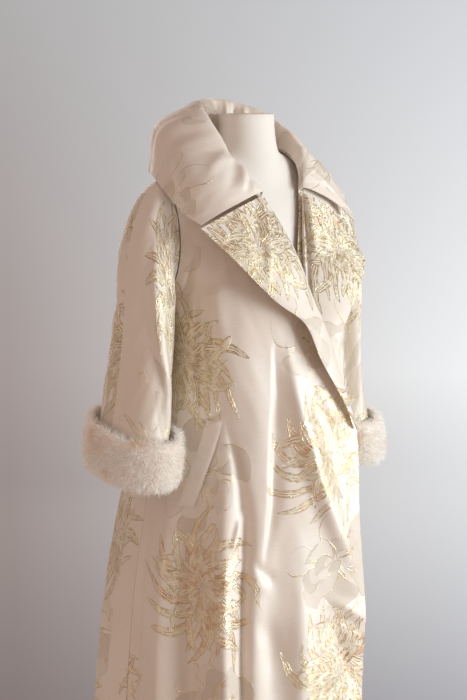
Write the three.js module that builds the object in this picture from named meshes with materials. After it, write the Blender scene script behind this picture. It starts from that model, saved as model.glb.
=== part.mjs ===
// Evening coat in satin brocade with a portrait collar, wide notched lapels and fur cuffs,
// worn by a limbless dress form on a round base.
// Millimetres, +Z up, the coat faces -Y, the wearer's right is -X.
// The origin is on the floor under the middle of the dress form.
import * as THREE from 'three';

// Driving sizes
const CLOTH = 2.0;
const SEAM_GAP = 0.3;
const HEM_Z = 215;
const UNDERARM_Z = 1254;
const UNDERARM_V = 0.22;
const SHOULDER_Z = 1446;
const SHOULDER_X = 193;
const UNDERARM_X = 186;
const ARMHOLE_Y = 14;
const ARMHOLE_HALF_DEPTH = 54;
const NECK_SIDE = { x: 82, y: 5, z: 1495 };
const NECK_BACK = { y: 78, z: 1484 };
const ROLL_SETBACK = 7;
const LAPEL_STEP_BACK = { right: 2.2, left: 2.75 };
// The lapel's narrow points are pressed thinner, so that the tight turn there doesn't cross itself
const LAPEL_THIN_SHARE = 0.4;
const LAPEL_THIN_WIDTH = 100;
const BACK_NECK_SHARE = 0.42;

// Half width of the body at the wearer's right and left at each height; the left side hangs closer
const BODY_SIZES = [
  { at: 215, right: 300, left: 262 },
  { at: 500, right: 277, left: 243 },
  { at: 650, right: 264, left: 234 },
  { at: 762, right: 250, left: 227 },
  { at: 910, right: 222, left: 212 },
  { at: 985, right: 208, left: 204 },
  { at: 1045, right: 202, left: 200 },
  { at: 1110, right: 197, left: 196 },
  { at: 1254, right: 186, left: 186 },
];

// Inner edge of the right front, from the shoulder along the roll line to the hem
const RIGHT_FRONT_EDGE = [
  { at: 0.00, x: -82, y: 5, z: 1495, inReach: 37, outReach: 37, inTurn: 0, outTurn: 0 },
  { at: 0.04, x: -78, y: -45, z: 1466, inReach: 37, outReach: 34, inTurn: 0, outTurn: 15 },
  { at: 0.08, x: -56, y: -93, z: 1421, inReach: 48, outReach: 46, inTurn: -6, outTurn: 42 },
  { at: 0.13, x: -29, y: -116, z: 1370, inReach: 62, outReach: 58, inTurn: -6, outTurn: 52 },
  { at: 0.17, x: -15, y: -138, z: 1317, inReach: 75, outReach: 66, inTurn: -2, outTurn: 60 },
  { at: 0.22, x: 2, y: -160, z: 1250, inReach: 105, outReach: 92, inTurn: 0, outTurn: 86 },
  { at: 0.27, x: 17, y: -174, z: 1190, inReach: 125, outReach: 112, inTurn: 0, outTurn: 90 },
  { at: 0.32, x: 32, y: -188, z: 1130, inReach: 140, outReach: 120, inTurn: 0, outTurn: 90 },
  { at: 0.38, x: 53, y: -199, z: 1060, inReach: 155, outReach: 126, inTurn: 0, outTurn: 90 },
  { at: 0.43, x: 76, y: -205, z: 1000, inReach: 175, outReach: 132, inTurn: 0, outTurn: 90 },
  { at: 0.60, x: 73, y: -220, z: 760, inReach: 200, outReach: 145, inTurn: 0, outTurn: 90 },
  { at: 0.80, x: 65, y: -237, z: 500, inReach: 215, outReach: 158, inTurn: 0, outTurn: 90 },
  { at: 1.00, x: 58, y: -250, z: 215, inReach: 230, outReach: 168, inTurn: 0, outTurn: 90 },
];

// Inner edge of the left front, which lies under the right one below the roll
const LEFT_FRONT_EDGE = [
  { at: 0.00, x: 82, y: 5, z: 1495, inReach: 37, outReach: 37, inTurn: 0, outTurn: 0 },
  { at: 0.04, x: 78, y: -43, z: 1467, inReach: 37, outReach: 34, inTurn: 0, outTurn: 15 },
  { at: 0.08, x: 68, y: -58, z: 1421, inReach: 48, outReach: 46, inTurn: 14, outTurn: 42 },
  { at: 0.13, x: 57, y: -70, z: 1370, inReach: 62, outReach: 50, inTurn: 14, outTurn: 50 },
  { at: 0.17, x: 44, y: -82, z: 1317, inReach: 75, outReach: 58, inTurn: 14, outTurn: 60 },
  { at: 0.22, x: 22, y: -110, z: 1250, inReach: 95, outReach: 84, inTurn: 15, outTurn: 86 },
  { at: 0.27, x: 2, y: -138, z: 1190, inReach: 115, outReach: 92, inTurn: 7, outTurn: 90 },
  { at: 0.32, x: -18, y: -156, z: 1130, inReach: 128, outReach: 92, inTurn: 0, outTurn: 90 },
  { at: 0.38, x: -40, y: -168, z: 1060, inReach: 138, outReach: 86, inTurn: -3, outTurn: 90 },
  { at: 0.43, x: -52, y: -172, z: 1000, inReach: 142, outReach: 78, inTurn: -6, outTurn: 90 },
  { at: 0.60, x: -55, y: -186, z: 760, inReach: 138, outReach: 62, inTurn: -8, outTurn: 90 },
  { at: 0.80, x: -58, y: -202, z: 500, inReach: 134, outReach: 56, inTurn: -8, outTurn: 90 },
  { at: 1.00, x: -60, y: -215, z: 215, inReach: 140, outReach: 60, inTurn: -8, outTurn: 90 },
];

// Centre line of the back, from the neck to the hem
const BACK_CENTRE = [
  { at: 0.00, y: 78, z: 1484, inReach: 60, outReach: 50, outTurn: 0 },
  { at: 0.05, y: 96, z: 1440, inReach: 85, outReach: 62, outTurn: 12 },
  { at: 0.10, y: 110, z: 1392, inReach: 90, outReach: 56, outTurn: 36 },
  { at: 0.16, y: 122, z: 1325, inReach: 92, outReach: 56, outTurn: 58 },
  { at: 0.22, y: 130, z: 1254, inReach: 104, outReach: 74, outTurn: 88 },
  { at: 0.32, y: 152, z: 1130, inReach: 116, outReach: 88, outTurn: 90 },
  { at: 0.43, y: 174, z: 1000, inReach: 130, outReach: 102, outTurn: 90 },
  { at: 0.60, y: 204, z: 760, inReach: 152, outReach: 120, outTurn: 90 },
  { at: 0.80, y: 231, z: 500, inReach: 172, outReach: 136, outTurn: 90 },
  { at: 1.00, y: 255, z: 215, inReach: 186, outReach: 150, outTurn: 90 },
];

// Soft folds: place across the panel at the top and at the hem, height where each starts,
// width and depth at the hem; a negative depth is a trough
const RIGHT_FRONT_FOLDS = [
  { top: 0.30, hem: -0.30, start: 1180, width: 28, depth: 13 },
  { top: 0.32, hem: 0.36, start: 1160, width: 28, depth: -11 },
  { top: 0.535, hem: 0.41, start: 1011, width: 23, depth: -16 },
  { top: 0.60, hem: 0.47, start: 1011, width: 26, depth: 12 },
  { top: 0.74, hem: 0.68, start: 1200, width: 34, depth: -10 },
  { top: 0.86, hem: 0.80, start: 980, width: 32, depth: 13 },
];
const LEFT_FRONT_FOLDS = [
  { top: 0.45, hem: 0.40, start: 1060, width: 38, depth: -11 },
  { top: 0.58, hem: 0.54, start: 1020, width: 36, depth: 14 },
  { top: 0.72, hem: 0.68, start: 980, width: 34, depth: -14 },
  { top: 0.88, hem: 0.83, start: 960, width: 32, depth: 13 },
];
const BACK_FOLDS = [
  { top: -0.90, hem: -0.86, start: 980, width: 32, depth: 14 },
  { top: -0.74, hem: -0.70, start: 1040, width: 34, depth: -15 },
  { top: -0.56, hem: -0.52, start: 1090, width: 36, depth: 16 },
  { top: -0.34, hem: -0.33, start: 1060, width: 34, depth: -13 },
  { top: -0.12, hem: -0.12, start: 1120, width: 40, depth: 14 },
  { top: 0.12, hem: 0.14, start: 1080, width: 36, depth: -12 },
  { top: 0.36, hem: 0.36, start: 1100, width: 38, depth: 17 },
  { top: 0.58, hem: 0.57, start: 1040, width: 34, depth: -14 },
  { top: 0.80, hem: 0.78, start: 990, width: 34, depth: 15 },
];

// Right lapel: roll line, free outer edge and how far its face stands off the chest
const RIGHT_LAPEL = [
  { at: 0.00, rollX: -52, rollY: -98, rollZ: 1425, edgeX: -191, edgeY: -97, edgeZ: 1371, puff: 17 },
  { at: 0.14, rollX: -27, rollY: -120, rollZ: 1370, edgeX: -149, edgeY: -130, edgeZ: 1321, puff: 19 },
  { at: 0.28, rollX: -11, rollY: -143, rollZ: 1317, edgeX: -112, edgeY: -155, edgeZ: 1275, puff: 19 },
  { at: 0.42, rollX: 3, rollY: -162, rollZ: 1257, edgeX: -83, edgeY: -172, edgeZ: 1243, puff: 17 },
  { at: 0.56, rollX: 19, rollY: -180, rollZ: 1197, edgeX: -38, edgeY: -192, edgeZ: 1205, puff: 14 },
  { at: 0.72, rollX: 36, rollY: -193, rollZ: 1133, edgeX: -14, edgeY: -207, edgeZ: 1142, puff: 11 },
  { at: 0.86, rollX: 54, rollY: -203, rollZ: 1068, edgeX: 26, edgeY: -213, edgeZ: 1078, puff: 7 },
  { at: 1.00, rollX: 73, rollY: -208, rollZ: 1010, edgeX: 63, edgeY: -215, edgeZ: 1018, puff: 3 },
];
const LEFT_LAPEL = [
  { at: 0.00, rollX: 66, rollY: -63, rollZ: 1421, edgeX: 160, edgeY: -88, edgeZ: 1364, puff: 16 },
  { at: 0.14, rollX: 56, rollY: -74, rollZ: 1375, edgeX: 166, edgeY: -108, edgeZ: 1322, puff: 18 },
  { at: 0.28, rollX: 46, rollY: -86, rollZ: 1320, edgeX: 176, edgeY: -120, edgeZ: 1296, puff: 20 },
  { at: 0.44, rollX: 25, rollY: -116, rollZ: 1252, edgeX: 143, edgeY: -140, edgeZ: 1252, puff: 18 },
  { at: 0.60, rollX: 5, rollY: -146, rollZ: 1192, edgeX: 79, edgeY: -167, edgeZ: 1187, puff: 12 },
  { at: 0.78, rollX: -14, rollY: -169, rollZ: 1135, edgeX: 40, edgeY: -180, edgeZ: 1134, puff: 6 },
  { at: 1.00, rollX: -28, rollY: -174, rollZ: 1096, edgeX: -12, edgeY: -178, edgeZ: 1098, puff: 1 },
];

// Collar sections round the neck, from the right gorge to the left one
const COLLAR = [
  { at: 0.00, footX: -52, footY: -94, footZ: 1423, ridgeX: -54, ridgeY: -100, ridgeZ: 1428,
    bendX: -126, bendY: -113, bendZ: 1410, edgeX: -189, edgeY: -93, edgeZ: 1378 },
  { at: 0.07, footX: -62, footY: -80, footZ: 1440, ridgeX: -72, ridgeY: -92, ridgeZ: 1452,
    bendX: -150, bendY: -92, bendZ: 1436, edgeX: -198, edgeY: -64, edgeZ: 1392 },
  { at: 0.13, footX: -72, footY: -62, footZ: 1455, ridgeX: -86, ridgeY: -72, ridgeZ: 1478,
    bendX: -164, bendY: -64, bendZ: 1462, edgeX: -206, edgeY: -44, edgeZ: 1412 },
  { at: 0.19, footX: -77, footY: -42, footZ: 1472, ridgeX: -90, ridgeY: -50, ridgeZ: 1496,
    bendX: -168, bendY: -32, bendZ: 1488, edgeX: -208, edgeY: -16, edgeZ: 1433 },
  { at: 0.25, footX: -79, footY: -18, footZ: 1488, ridgeX: -92, ridgeY: -26, ridgeZ: 1526,
    bendX: -168, bendY: 6, bendZ: 1512, edgeX: -199, edgeY: 20, edgeZ: 1452 },
  { at: 0.31, footX: -79, footY: 8, footZ: 1496, ridgeX: -90, ridgeY: 2, ridgeZ: 1552,
    bendX: -162, bendY: 46, bendZ: 1530, edgeX: -176, edgeY: 62, edgeZ: 1460 },
  { at: 0.39, footX: -60, footY: 48, footZ: 1492, ridgeX: -66, ridgeY: 52, ridgeZ: 1576,
    bendX: -122, bendY: 104, bendZ: 1545, edgeX: -128, edgeY: 118, edgeZ: 1456 },
  { at: 0.50, footX: 0, footY: 74, footZ: 1487, ridgeX: 0, ridgeY: 90, ridgeZ: 1586,
    bendX: 0, bendY: 154, bendZ: 1545, edgeX: 0, edgeY: 166, edgeZ: 1444 },
  { at: 0.61, footX: 60, footY: 48, footZ: 1492, ridgeX: 66, ridgeY: 50, ridgeZ: 1566,
    bendX: 118, bendY: 100, bendZ: 1524, edgeX: 134, edgeY: 116, edgeZ: 1446 },
  { at: 0.69, footX: 79, footY: 8, footZ: 1496, ridgeX: 90, ridgeY: 4, ridgeZ: 1534,
    bendX: 144, bendY: 42, bendZ: 1498, edgeX: 168, edgeY: 50, edgeZ: 1466 },
  { at: 0.75, footX: 79, footY: -14, footZ: 1489, ridgeX: 93, ridgeY: -22, ridgeZ: 1514,
    bendX: 148, bendY: 4, bendZ: 1488, edgeX: 176, edgeY: 14, edgeZ: 1466 },
  { at: 0.81, footX: 76, footY: -31, footZ: 1480, ridgeX: 93, ridgeY: -42, ridgeZ: 1496,
    bendX: 150, bendY: -24, bendZ: 1472, edgeX: 178, edgeY: -20, edgeZ: 1452 },
  { at: 0.87, footX: 74, footY: -44, footZ: 1467, ridgeX: 88, ridgeY: -54, ridgeZ: 1476,
    bendX: 148, bendY: -48, bendZ: 1452, edgeX: 184, edgeY: -46, edgeZ: 1416 },
  { at: 0.93, footX: 71, footY: -53, footZ: 1450, ridgeX: 79, ridgeY: -62, ridgeZ: 1452,
    bendX: 140, bendY: -66, bendZ: 1429, edgeX: 191, edgeY: -62, edgeZ: 1387 },
  { at: 1.00, footX: 66, footY: -61, footZ: 1424, ridgeX: 68, ridgeY: -67, ridgeZ: 1429,
    bendX: 128, bendY: -80, bendZ: 1406, edgeX: 195, edgeY: -75, edgeZ: 1363 },
];

// Sleeve centre line and half widths across and front to back, below the cap
const RIGHT_SLEEVE = [
  { at: 0.00, x: 234, y: 4, z: 1238, across: 43, depth: 66 },
  { at: 0.25, x: 243, y: 1, z: 1175, across: 46, depth: 70 },
  { at: 0.50, x: 255, y: -4, z: 1100, across: 49, depth: 72 },
  { at: 0.75, x: 268, y: -9, z: 1030, across: 50, depth: 74 },
  { at: 1.00, x: 281, y: -14, z: 952, across: 51, depth: 76 },
];
const LEFT_SLEEVE = [
  { at: 0.00, x: 234, y: 26, z: 1238, across: 43, depth: 62 },
  { at: 0.25, x: 242, y: 38, z: 1170, across: 45, depth: 62 },
  { at: 0.50, x: 252, y: 44, z: 1090, across: 47, depth: 64 },
  { at: 0.75, x: 264, y: 44, z: 1005, across: 49, depth: 67 },
  { at: 1.00, x: 279, y: 38, z: 908, across: 51, depth: 72 },
];
// How the sleeve cap leaves the armhole and meets the tube, at the underarm and at the shoulder
const CAP_SHARE = 0.36;
const CAP = { outLow: 3, outHigh: 34, dropLow: 1, dropHigh: 6, followLow: 6, followHigh: 120 };
const CAP_STEP = { low: 2.6, high: 1.4 };

const CUFF_TILT = 0.2;
const CUFF_HEIGHT = 92;
const CUFF_CLEARANCE = 1.7;
const CUFF_FOOT_DROP = 6;
const CUFF_INNER_SHARE = 0.25;
const FUR_DEPTH = 20;

// Rounded section of the fur band, from the foot over the outside to the top and back inside:
// how far out from the sleeve and how far up, as shares of the fur's depth and the cuff's height
const FUR_SECTION = [
  { at: 0, out: 0.00, up: 0.05 },
  { at: 1, out: 0.35, up: 0.00 },
  { at: 2, out: 0.95, up: 0.12 },
  { at: 3, out: 1.25, up: 0.38 },
  { at: 4, out: 1.32, up: 0.64 },
  { at: 5, out: 1.18, up: 0.88 },
  { at: 6, out: 0.90, up: 1.00 },
  { at: 7, out: 0.62, up: 0.93 },
  { at: 8, out: 0.36, up: 0.60 },
  { at: 9, out: 0.10, up: 0.25 },
];

// Dress form sections: half width, front and back depth, and heights at side, front and back
const FORM_SIZES = [
  { at: 0.00, side: 42, front: 30, back: 54, sideZ: 1560, frontZ: 1560, backZ: 1560 },
  { at: 0.02, side: 49, front: 37, back: 61, sideZ: 1559, frontZ: 1559, backZ: 1559 },
  { at: 0.09, side: 50, front: 40, back: 60, sideZ: 1536, frontZ: 1534, backZ: 1536 },
  { at: 0.17, side: 54, front: 45, back: 60, sideZ: 1508, frontZ: 1492, backZ: 1506 },
  { at: 0.22, side: 63, front: 50, back: 62, sideZ: 1493, frontZ: 1460, backZ: 1478 },
  { at: 0.28, side: 96, front: 53, back: 66, sideZ: 1479.3, frontZ: 1426, backZ: 1440 },
  { at: 0.35, side: 138, front: 62, back: 76, sideZ: 1462.3, frontZ: 1390, backZ: 1400 },
  { at: 0.40, side: 158, front: 68, back: 86, sideZ: 1440, frontZ: 1360, backZ: 1368 },
  { at: 0.46, side: 162, front: 74, back: 94, sideZ: 1405, frontZ: 1325, backZ: 1335 },
  { at: 0.56, side: 156, front: 86, back: 100, sideZ: 1320, frontZ: 1270, backZ: 1280 },
  { at: 0.70, side: 132, front: 86, back: 88, sideZ: 1160, frontZ: 1160, backZ: 1160 },
  { at: 0.80, side: 128, front: 86, back: 86, sideZ: 1080, frontZ: 1080, backZ: 1080 },
  { at: 0.92, side: 154, front: 104, back: 110, sideZ: 930, frontZ: 930, backZ: 930 },
  { at: 0.99, side: 158, front: 108, back: 116, sideZ: 852, frontZ: 852, backZ: 852 },
  { at: 1.00, side: 150, front: 100, back: 108, sideZ: 846, frontZ: 846, backZ: 846 },
];
const POLE_RADIUS = 14;
const BASE_RADIUS = 190;
const BASE_HEIGHT = 22;

// Slanted pocket welt on each front
const WELT = { uTop: 0.65, uFoot: 0.77, zTop: 1040, length: 150, width: 34, lift: 1.4 };

// Length across a panel for each unit of the body's half width
const FRONT_SPREAD = 1.75;
const BACK_SPREAD = 1.6;

// Mesh fineness
const FRONT_COLUMNS = 18;
const FRONT_ROWS = 19;
const BACK_COLUMNS = 34;
const BACK_ROWS = 13;
const LAPEL_COLUMNS = 8;
const LAPEL_ROWS = 12;
const COLLAR_COLUMNS = 30;
const COLLAR_ROWS = 10;
const SLEEVE_COLUMNS = 20;
const SLEEVE_ROWS = 12;
const CUFF_COLUMNS = 24;

const FINISHES = {
  brocade: { color: 0xe3d5c6, roughness: 0.45, metalness: 0.05 },
  fur: { color: 0xeee3d6, roughness: 0.95, metalness: 0.0 },
  form: { color: 0xe9e4df, roughness: 0.8, metalness: 0.0 },
  stand: { color: 0xd9d4cc, roughness: 0.4, metalness: 0.2 },
};

const RADIANS = Math.PI / 180;
const mix = (a, b, t) => a + (b - a) * t;
const ramp = (t) => {
  const c = Math.min(1, Math.max(0, t));
  return c * c * (3 - 2 * c);
};

// Smooth reading of one column of a table whose rows rise in their 'at' value
function column(table, name, at) {
  let i = 0;
  while (i < table.length - 2 && at > table[i + 1].at) i += 1;
  const slope = (k) => {
    const lo = Math.max(0, k - 1);
    const hi = Math.min(table.length - 1, k + 1);
    return (table[hi][name] - table[lo][name]) / (table[hi].at - table[lo].at);
  };
  const span = table[i + 1].at - table[i].at;
  const t = Math.min(1, Math.max(0, (at - table[i].at) / span));
  const t2 = t * t;
  const t3 = t2 * t;
  return table[i][name] * (2 * t3 - 3 * t2 + 1) + slope(i) * span * (t3 - 2 * t2 + t)
    + table[i + 1][name] * (3 * t2 - 2 * t3) + slope(i + 1) * span * (t3 - t2);
}

function bezier(a, b, c, d, t) {
  const s = 1 - t;
  return new THREE.Vector3()
    .addScaledVector(a, s * s * s)
    .addScaledVector(b, 3 * s * s * t)
    .addScaledVector(c, 3 * s * t * t)
    .addScaledVector(d, t * t * t);
}

// Loop where a sleeve is set in; the angle runs from the shoulder over the front to the underarm
function armhole(side, angle) {
  const cos = Math.cos(angle);
  const x = side * mix(UNDERARM_X, SHOULDER_X, (1 + cos) / 2);
  const y = ARMHOLE_Y - ARMHOLE_HALF_DEPTH * Math.sin(angle);
  return new THREE.Vector3(x, y, mix(UNDERARM_Z, SHOULDER_Z, (1 + cos) / 2));
}

// Outer edge of a body panel: armhole above the underarm, side seam below it
function panelEdge(side, v, facing, seamShift) {
  if (v < UNDERARM_V) {
    const p = armhole(side, facing * Math.PI * (v / UNDERARM_V));
    p.y -= facing * seamShift;
    return p;
  }
  const z = mix(UNDERARM_Z, HEM_Z, (v - UNDERARM_V) / (1 - UNDERARM_V));
  const y = ARMHOLE_Y - facing * seamShift;
  return new THREE.Vector3(side * column(BODY_SIZES, side < 0 ? 'right' : 'left', z), y, z);
}

// A point on a front panel: u from the front edge to the side, v from the shoulder to the hem
function frontPoint(table, side, u, v) {
  const inner = new THREE.Vector3(column(table, 'x', v), column(table, 'y', v), column(table, 'z', v));
  const outer = panelEdge(side, v, 1, SEAM_GAP / 2);
  const inTurn = column(table, 'inTurn', v) * RADIANS;
  const outTurn = column(table, 'outTurn', v) * RADIANS;
  const inReach = column(table, 'inReach', v);
  const outReach = column(table, 'outReach', v);
  const b = inner.clone();
  b.x += side * inReach * Math.cos(inTurn);
  b.y -= inReach * Math.sin(inTurn);
  b.z = mix(inner.z, outer.z, 0.33);
  const c = outer.clone();
  c.x -= side * outReach * Math.cos(outTurn);
  c.y -= outReach * Math.sin(outTurn);
  c.z = mix(inner.z, outer.z, 0.67);
  return bezier(inner, b, c, outer, u);
}

// A point on the back: u from -1 at the right to 1 at the left, 0 at the centre
function backPoint(u, v) {
  const side = u < 0 ? -1 : 1;
  const across = Math.abs(u);
  const outer = panelEdge(side, v, -1, SEAM_GAP / 2);
  const inner = new THREE.Vector3(0, column(BACK_CENTRE, 'y', v), column(BACK_CENTRE, 'z', v));
  const outTurn = column(BACK_CENTRE, 'outTurn', v) * RADIANS;
  const b = inner.clone();
  b.x += side * column(BACK_CENTRE, 'inReach', v);
  const c = outer.clone();
  c.x -= side * column(BACK_CENTRE, 'outReach', v) * Math.cos(outTurn);
  c.y += column(BACK_CENTRE, 'outReach', v) * Math.sin(outTurn);
  b.z = mix(inner.z, outer.z, 0.33);
  c.z = mix(inner.z, outer.z, 0.67);
  const p = bezier(inner, b, c, outer, across);
  const top = backTop(side, across);
  return p.lerp(top, 1 - ramp(v / 0.06));
}

// Top edge of the back: neckline to the neck side point, then the shoulder seam
function backTop(side, across) {
  const seamY = NECK_SIDE.y + SEAM_GAP;
  if (across < BACK_NECK_SHARE) {
    const turn = (across / BACK_NECK_SHARE) * Math.PI / 2;
    const y = mix(seamY, NECK_BACK.y, Math.cos(turn));
    const z = mix(NECK_SIDE.z, NECK_BACK.z, Math.cos(turn));
    return new THREE.Vector3(side * NECK_SIDE.x * Math.sin(turn), y, z);
  }
  const t = (across - BACK_NECK_SHARE) / (1 - BACK_NECK_SHARE);
  const x = side * mix(NECK_SIDE.x, SHOULDER_X, t);
  const y = mix(seamY, ARMHOLE_Y + SEAM_GAP / 2, ramp(t));
  return new THREE.Vector3(x, y, mix(NECK_SIDE.z, SHOULDER_Z, t));
}

// Height of the folds at one place of a panel
function foldDepth(folds, u, z, widthAcross) {
  let depth = 0;
  for (const fold of folds) {
    const fall = (fold.start - z) / (fold.start - HEM_Z);
    if (fall <= 0) continue;
    const centre = mix(fold.top, fold.hem, fall);
    const away = ((u - centre) * widthAcross) / (fold.width * mix(0.7, 1.25, fall));
    depth += fold.depth * ramp(fall * 1.6) * mix(0.7, 1.25, fall) * Math.exp(-away * away);
  }
  return depth;
}

// Grid of points from a function of two numbers from 0 to 1
function grid(columns, rows, point) {
  const points = [];
  for (let j = 0; j <= rows; j += 1) {
    const row = [];
    for (let i = 0; i <= columns; i += 1) row.push(point(i / columns, j / rows));
    points.push(row);
  }
  return points;
}

// Normals of a grid, by the cross product of its two directions
function gridNormals(points, closed) {
  const rows = points.length;
  const columns = points[0].length;
  return points.map((row, j) => row.map((p, i) => {
    const left = closed ? row[(i + columns - 1) % columns] : row[Math.max(0, i - 1)];
    const right = closed ? row[(i + 1) % columns] : row[Math.min(columns - 1, i + 1)];
    const up = points[Math.max(0, j - 1)][i];
    const down = points[Math.min(rows - 1, j + 1)][i];
    return new THREE.Vector3().crossVectors(right.clone().sub(left), down.clone().sub(up)).normalize();
  }));
}

// Points moved along their normals; on a seam, where 'onSeam' holds, they keep their y
function moveAlongNormals(points, distance, closed = false, onSeam = () => false) {
  const normals = gridNormals(points, closed);
  return points.map((row, j) => row.map((p, i) => {
    const step = typeof distance === 'function' ? distance(i, j) : distance;
    const normal = normals[j][i].clone();
    if (onSeam(i, j)) normal.setY(0).normalize();
    return p.clone().addScaledVector(normal, step);
  }));
}

// Closed wall between two grids of the same size; the rims join them
function wall(outer, inner, closed = false) {
  const rows = outer.length;
  const columns = outer[0].length;
  const positions = [];
  for (const layer of [outer, inner]) {
    for (const row of layer) for (const p of row) positions.push(p.x, p.y, p.z);
  }
  const index = [];
  const at = (layer, j, i) => layer * rows * columns + j * columns + (i % columns);
  const quad = (a, b, c, d) => index.push(a, b, c, a, c, d);
  const spans = closed ? columns : columns - 1;
  for (let j = 0; j < rows - 1; j += 1) {
    for (let i = 0; i < spans; i += 1) {
      quad(at(0, j, i), at(0, j, i + 1), at(0, j + 1, i + 1), at(0, j + 1, i));
      quad(at(1, j, i), at(1, j + 1, i), at(1, j + 1, i + 1), at(1, j, i + 1));
    }
  }
  for (let i = 0; i < spans; i += 1) {
    quad(at(0, 0, i + 1), at(0, 0, i), at(1, 0, i), at(1, 0, i + 1));
    quad(at(0, rows - 1, i), at(0, rows - 1, i + 1), at(1, rows - 1, i + 1), at(1, rows - 1, i));
  }
  if (!closed) {
    for (let j = 0; j < rows - 1; j += 1) {
      quad(at(0, j, 0), at(0, j + 1, 0), at(1, j + 1, 0), at(1, j, 0));
      const e = columns - 1;
      quad(at(0, j + 1, e), at(0, j, e), at(1, j, e), at(1, j + 1, e));
    }
  }
  return facingOut(positions, index);
}

// Solid skin from closed rings, with a flat fan at each end
function ringSolid(rings) {
  const columns = rings[0].length;
  const positions = rings.flat().flatMap((p) => [p.x, p.y, p.z]);
  const index = [];
  for (let j = 0; j < rings.length - 1; j += 1) {
    for (let i = 0; i < columns; i += 1) {
      const a = j * columns + i;
      const b = j * columns + ((i + 1) % columns);
      index.push(a, b, b + columns, a, b + columns, a + columns);
    }
  }
  for (const [ring, flip] of [[0, true], [rings.length - 1, false]]) {
    const middle = rings[ring].reduce((s, p) => s.add(p), new THREE.Vector3()).divideScalar(columns);
    positions.push(middle.x, middle.y, middle.z);
    const m = positions.length / 3 - 1;
    for (let i = 0; i < columns; i += 1) {
      const a = ring * columns + i;
      const b = ring * columns + ((i + 1) % columns);
      index.push(...(flip ? [m, b, a] : [m, a, b]));
    }
  }
  return facingOut(positions, index);
}

function facingOut(positions, index) {
  let volume = 0;
  const p = (k) => new THREE.Vector3().fromArray(positions, 3 * k);
  for (let i = 0; i < index.length; i += 3) {
    volume += p(index[i]).dot(p(index[i + 1]).cross(p(index[i + 2])));
  }
  if (volume < 0) {
    for (let i = 0; i < index.length; i += 3) [index[i], index[i + 1]] = [index[i + 1], index[i]];
  }
  const geometry = new THREE.BufferGeometry();
  geometry.setAttribute('position', new THREE.Float32BufferAttribute(positions, 3));
  geometry.setIndex(index);
  geometry.computeVertexNormals();
  return geometry;
}

function addPiece(group, name, geometry, finish) {
  const mesh = new THREE.Mesh(geometry, new THREE.MeshStandardMaterial(FINISHES[finish]));
  mesh.name = name;
  group.add(mesh);
}

// Rows of a body panel bunch towards the shoulder, where the shape turns most
const panelRow = (t) => mix(t, t * t, 0.45);

const onFrontSeam = (i, j) => j === 0 || i === FRONT_COLUMNS;
const onBackSeam = (i, j) => j === 0 || i === 0 || i === BACK_COLUMNS;

// Outer skin of a front panel with its folds
function frontSkin(table, folds, side) {
  const points = grid(FRONT_COLUMNS, FRONT_ROWS, (u, t) => frontPoint(table, side, u, panelRow(t)));
  const outward = side < 0 ? 1 : -1;
  return moveAlongNormals(points, (i, j) => {
    const width = column(BODY_SIZES, 'right', points[j][i].z) * FRONT_SPREAD;
    return outward * foldDepth(folds, i / FRONT_COLUMNS, points[j][i].z, width);
  }, false, onFrontSeam);
}

function frontWall(table, folds, side) {
  const outer = frontSkin(table, folds, side);
  return wall(outer, moveAlongNormals(outer, side < 0 ? -CLOTH : CLOTH, false, onFrontSeam));
}

function backWall() {
  const points = grid(BACK_COLUMNS, BACK_ROWS, (u, t) => backPoint(u * 2 - 1, panelRow(t)));
  const outer = moveAlongNormals(points, (i, j) => {
    const z = points[j][i].z;
    const width = column(BODY_SIZES, 'right', z) * BACK_SPREAD;
    return foldDepth(BACK_FOLDS, (i / BACK_COLUMNS) * 2 - 1, z, width);
  }, false, onBackSeam);
  return wall(outer, moveAlongNormals(outer, -CLOTH, false, onBackSeam));
}

// A point on a lapel: u from the roll line to the free edge, v from the gorge to the break
function lapelPoint(table, side, u, v) {
  const roll = new THREE.Vector3(column(table, 'rollX', v), column(table, 'rollY', v),
    column(table, 'rollZ', v));
  const edge = new THREE.Vector3(column(table, 'edgeX', v), column(table, 'edgeY', v),
    column(table, 'edgeZ', v));
  const puff = column(table, 'puff', v);
  const across = edge.clone().sub(roll);
  const width = across.length();
  across.normalize();
  const start = roll.clone().addScaledVector(across, ROLL_SETBACK * Math.min(1, width / 60));
  start.y += side < 0 ? LAPEL_STEP_BACK.right : LAPEL_STEP_BACK.left;
  const b = roll.clone().addScaledVector(across, -0.55 * puff);
  b.y -= 0.75 * puff;
  const c = roll.clone().lerp(edge, 0.5);
  c.y -= 1.1 * puff;
  return bezier(start, b, c, edge, Math.pow(u, 1.25));
}

function lapelWall(table, side) {
  const outer = grid(LAPEL_COLUMNS, LAPEL_ROWS, (u, v) => lapelPoint(table, side, u, v));
  return wall(outer, moveAlongNormals(outer, (i, j) => {
    const width = outer[j][0].distanceTo(outer[j][LAPEL_COLUMNS]);
    return side * CLOTH * Math.min(1, LAPEL_THIN_SHARE + width / LAPEL_THIN_WIDTH);
  }));
}

// A point on the collar: u round the neck, v from the foot of the stand over the ridge to the edge
function collarPoint(u, v) {
  const read = (name) => new THREE.Vector3(column(COLLAR, `${name}X`, u), column(COLLAR, `${name}Y`, u),
    column(COLLAR, `${name}Z`, u));
  const foot = read('foot');
  const ridge = read('ridge');
  const bend = read('bend');
  const edge = read('edge');
  const path = new THREE.CatmullRomCurve3([foot, ridge, bend, edge], false, 'centripetal');
  return path.getPoint(v);
}

function collarWall() {
  const points = grid(COLLAR_COLUMNS, COLLAR_ROWS, (u, v) => collarPoint(u, v));
  return wall(points, moveAlongNormals(points, -CLOTH));
}

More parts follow.
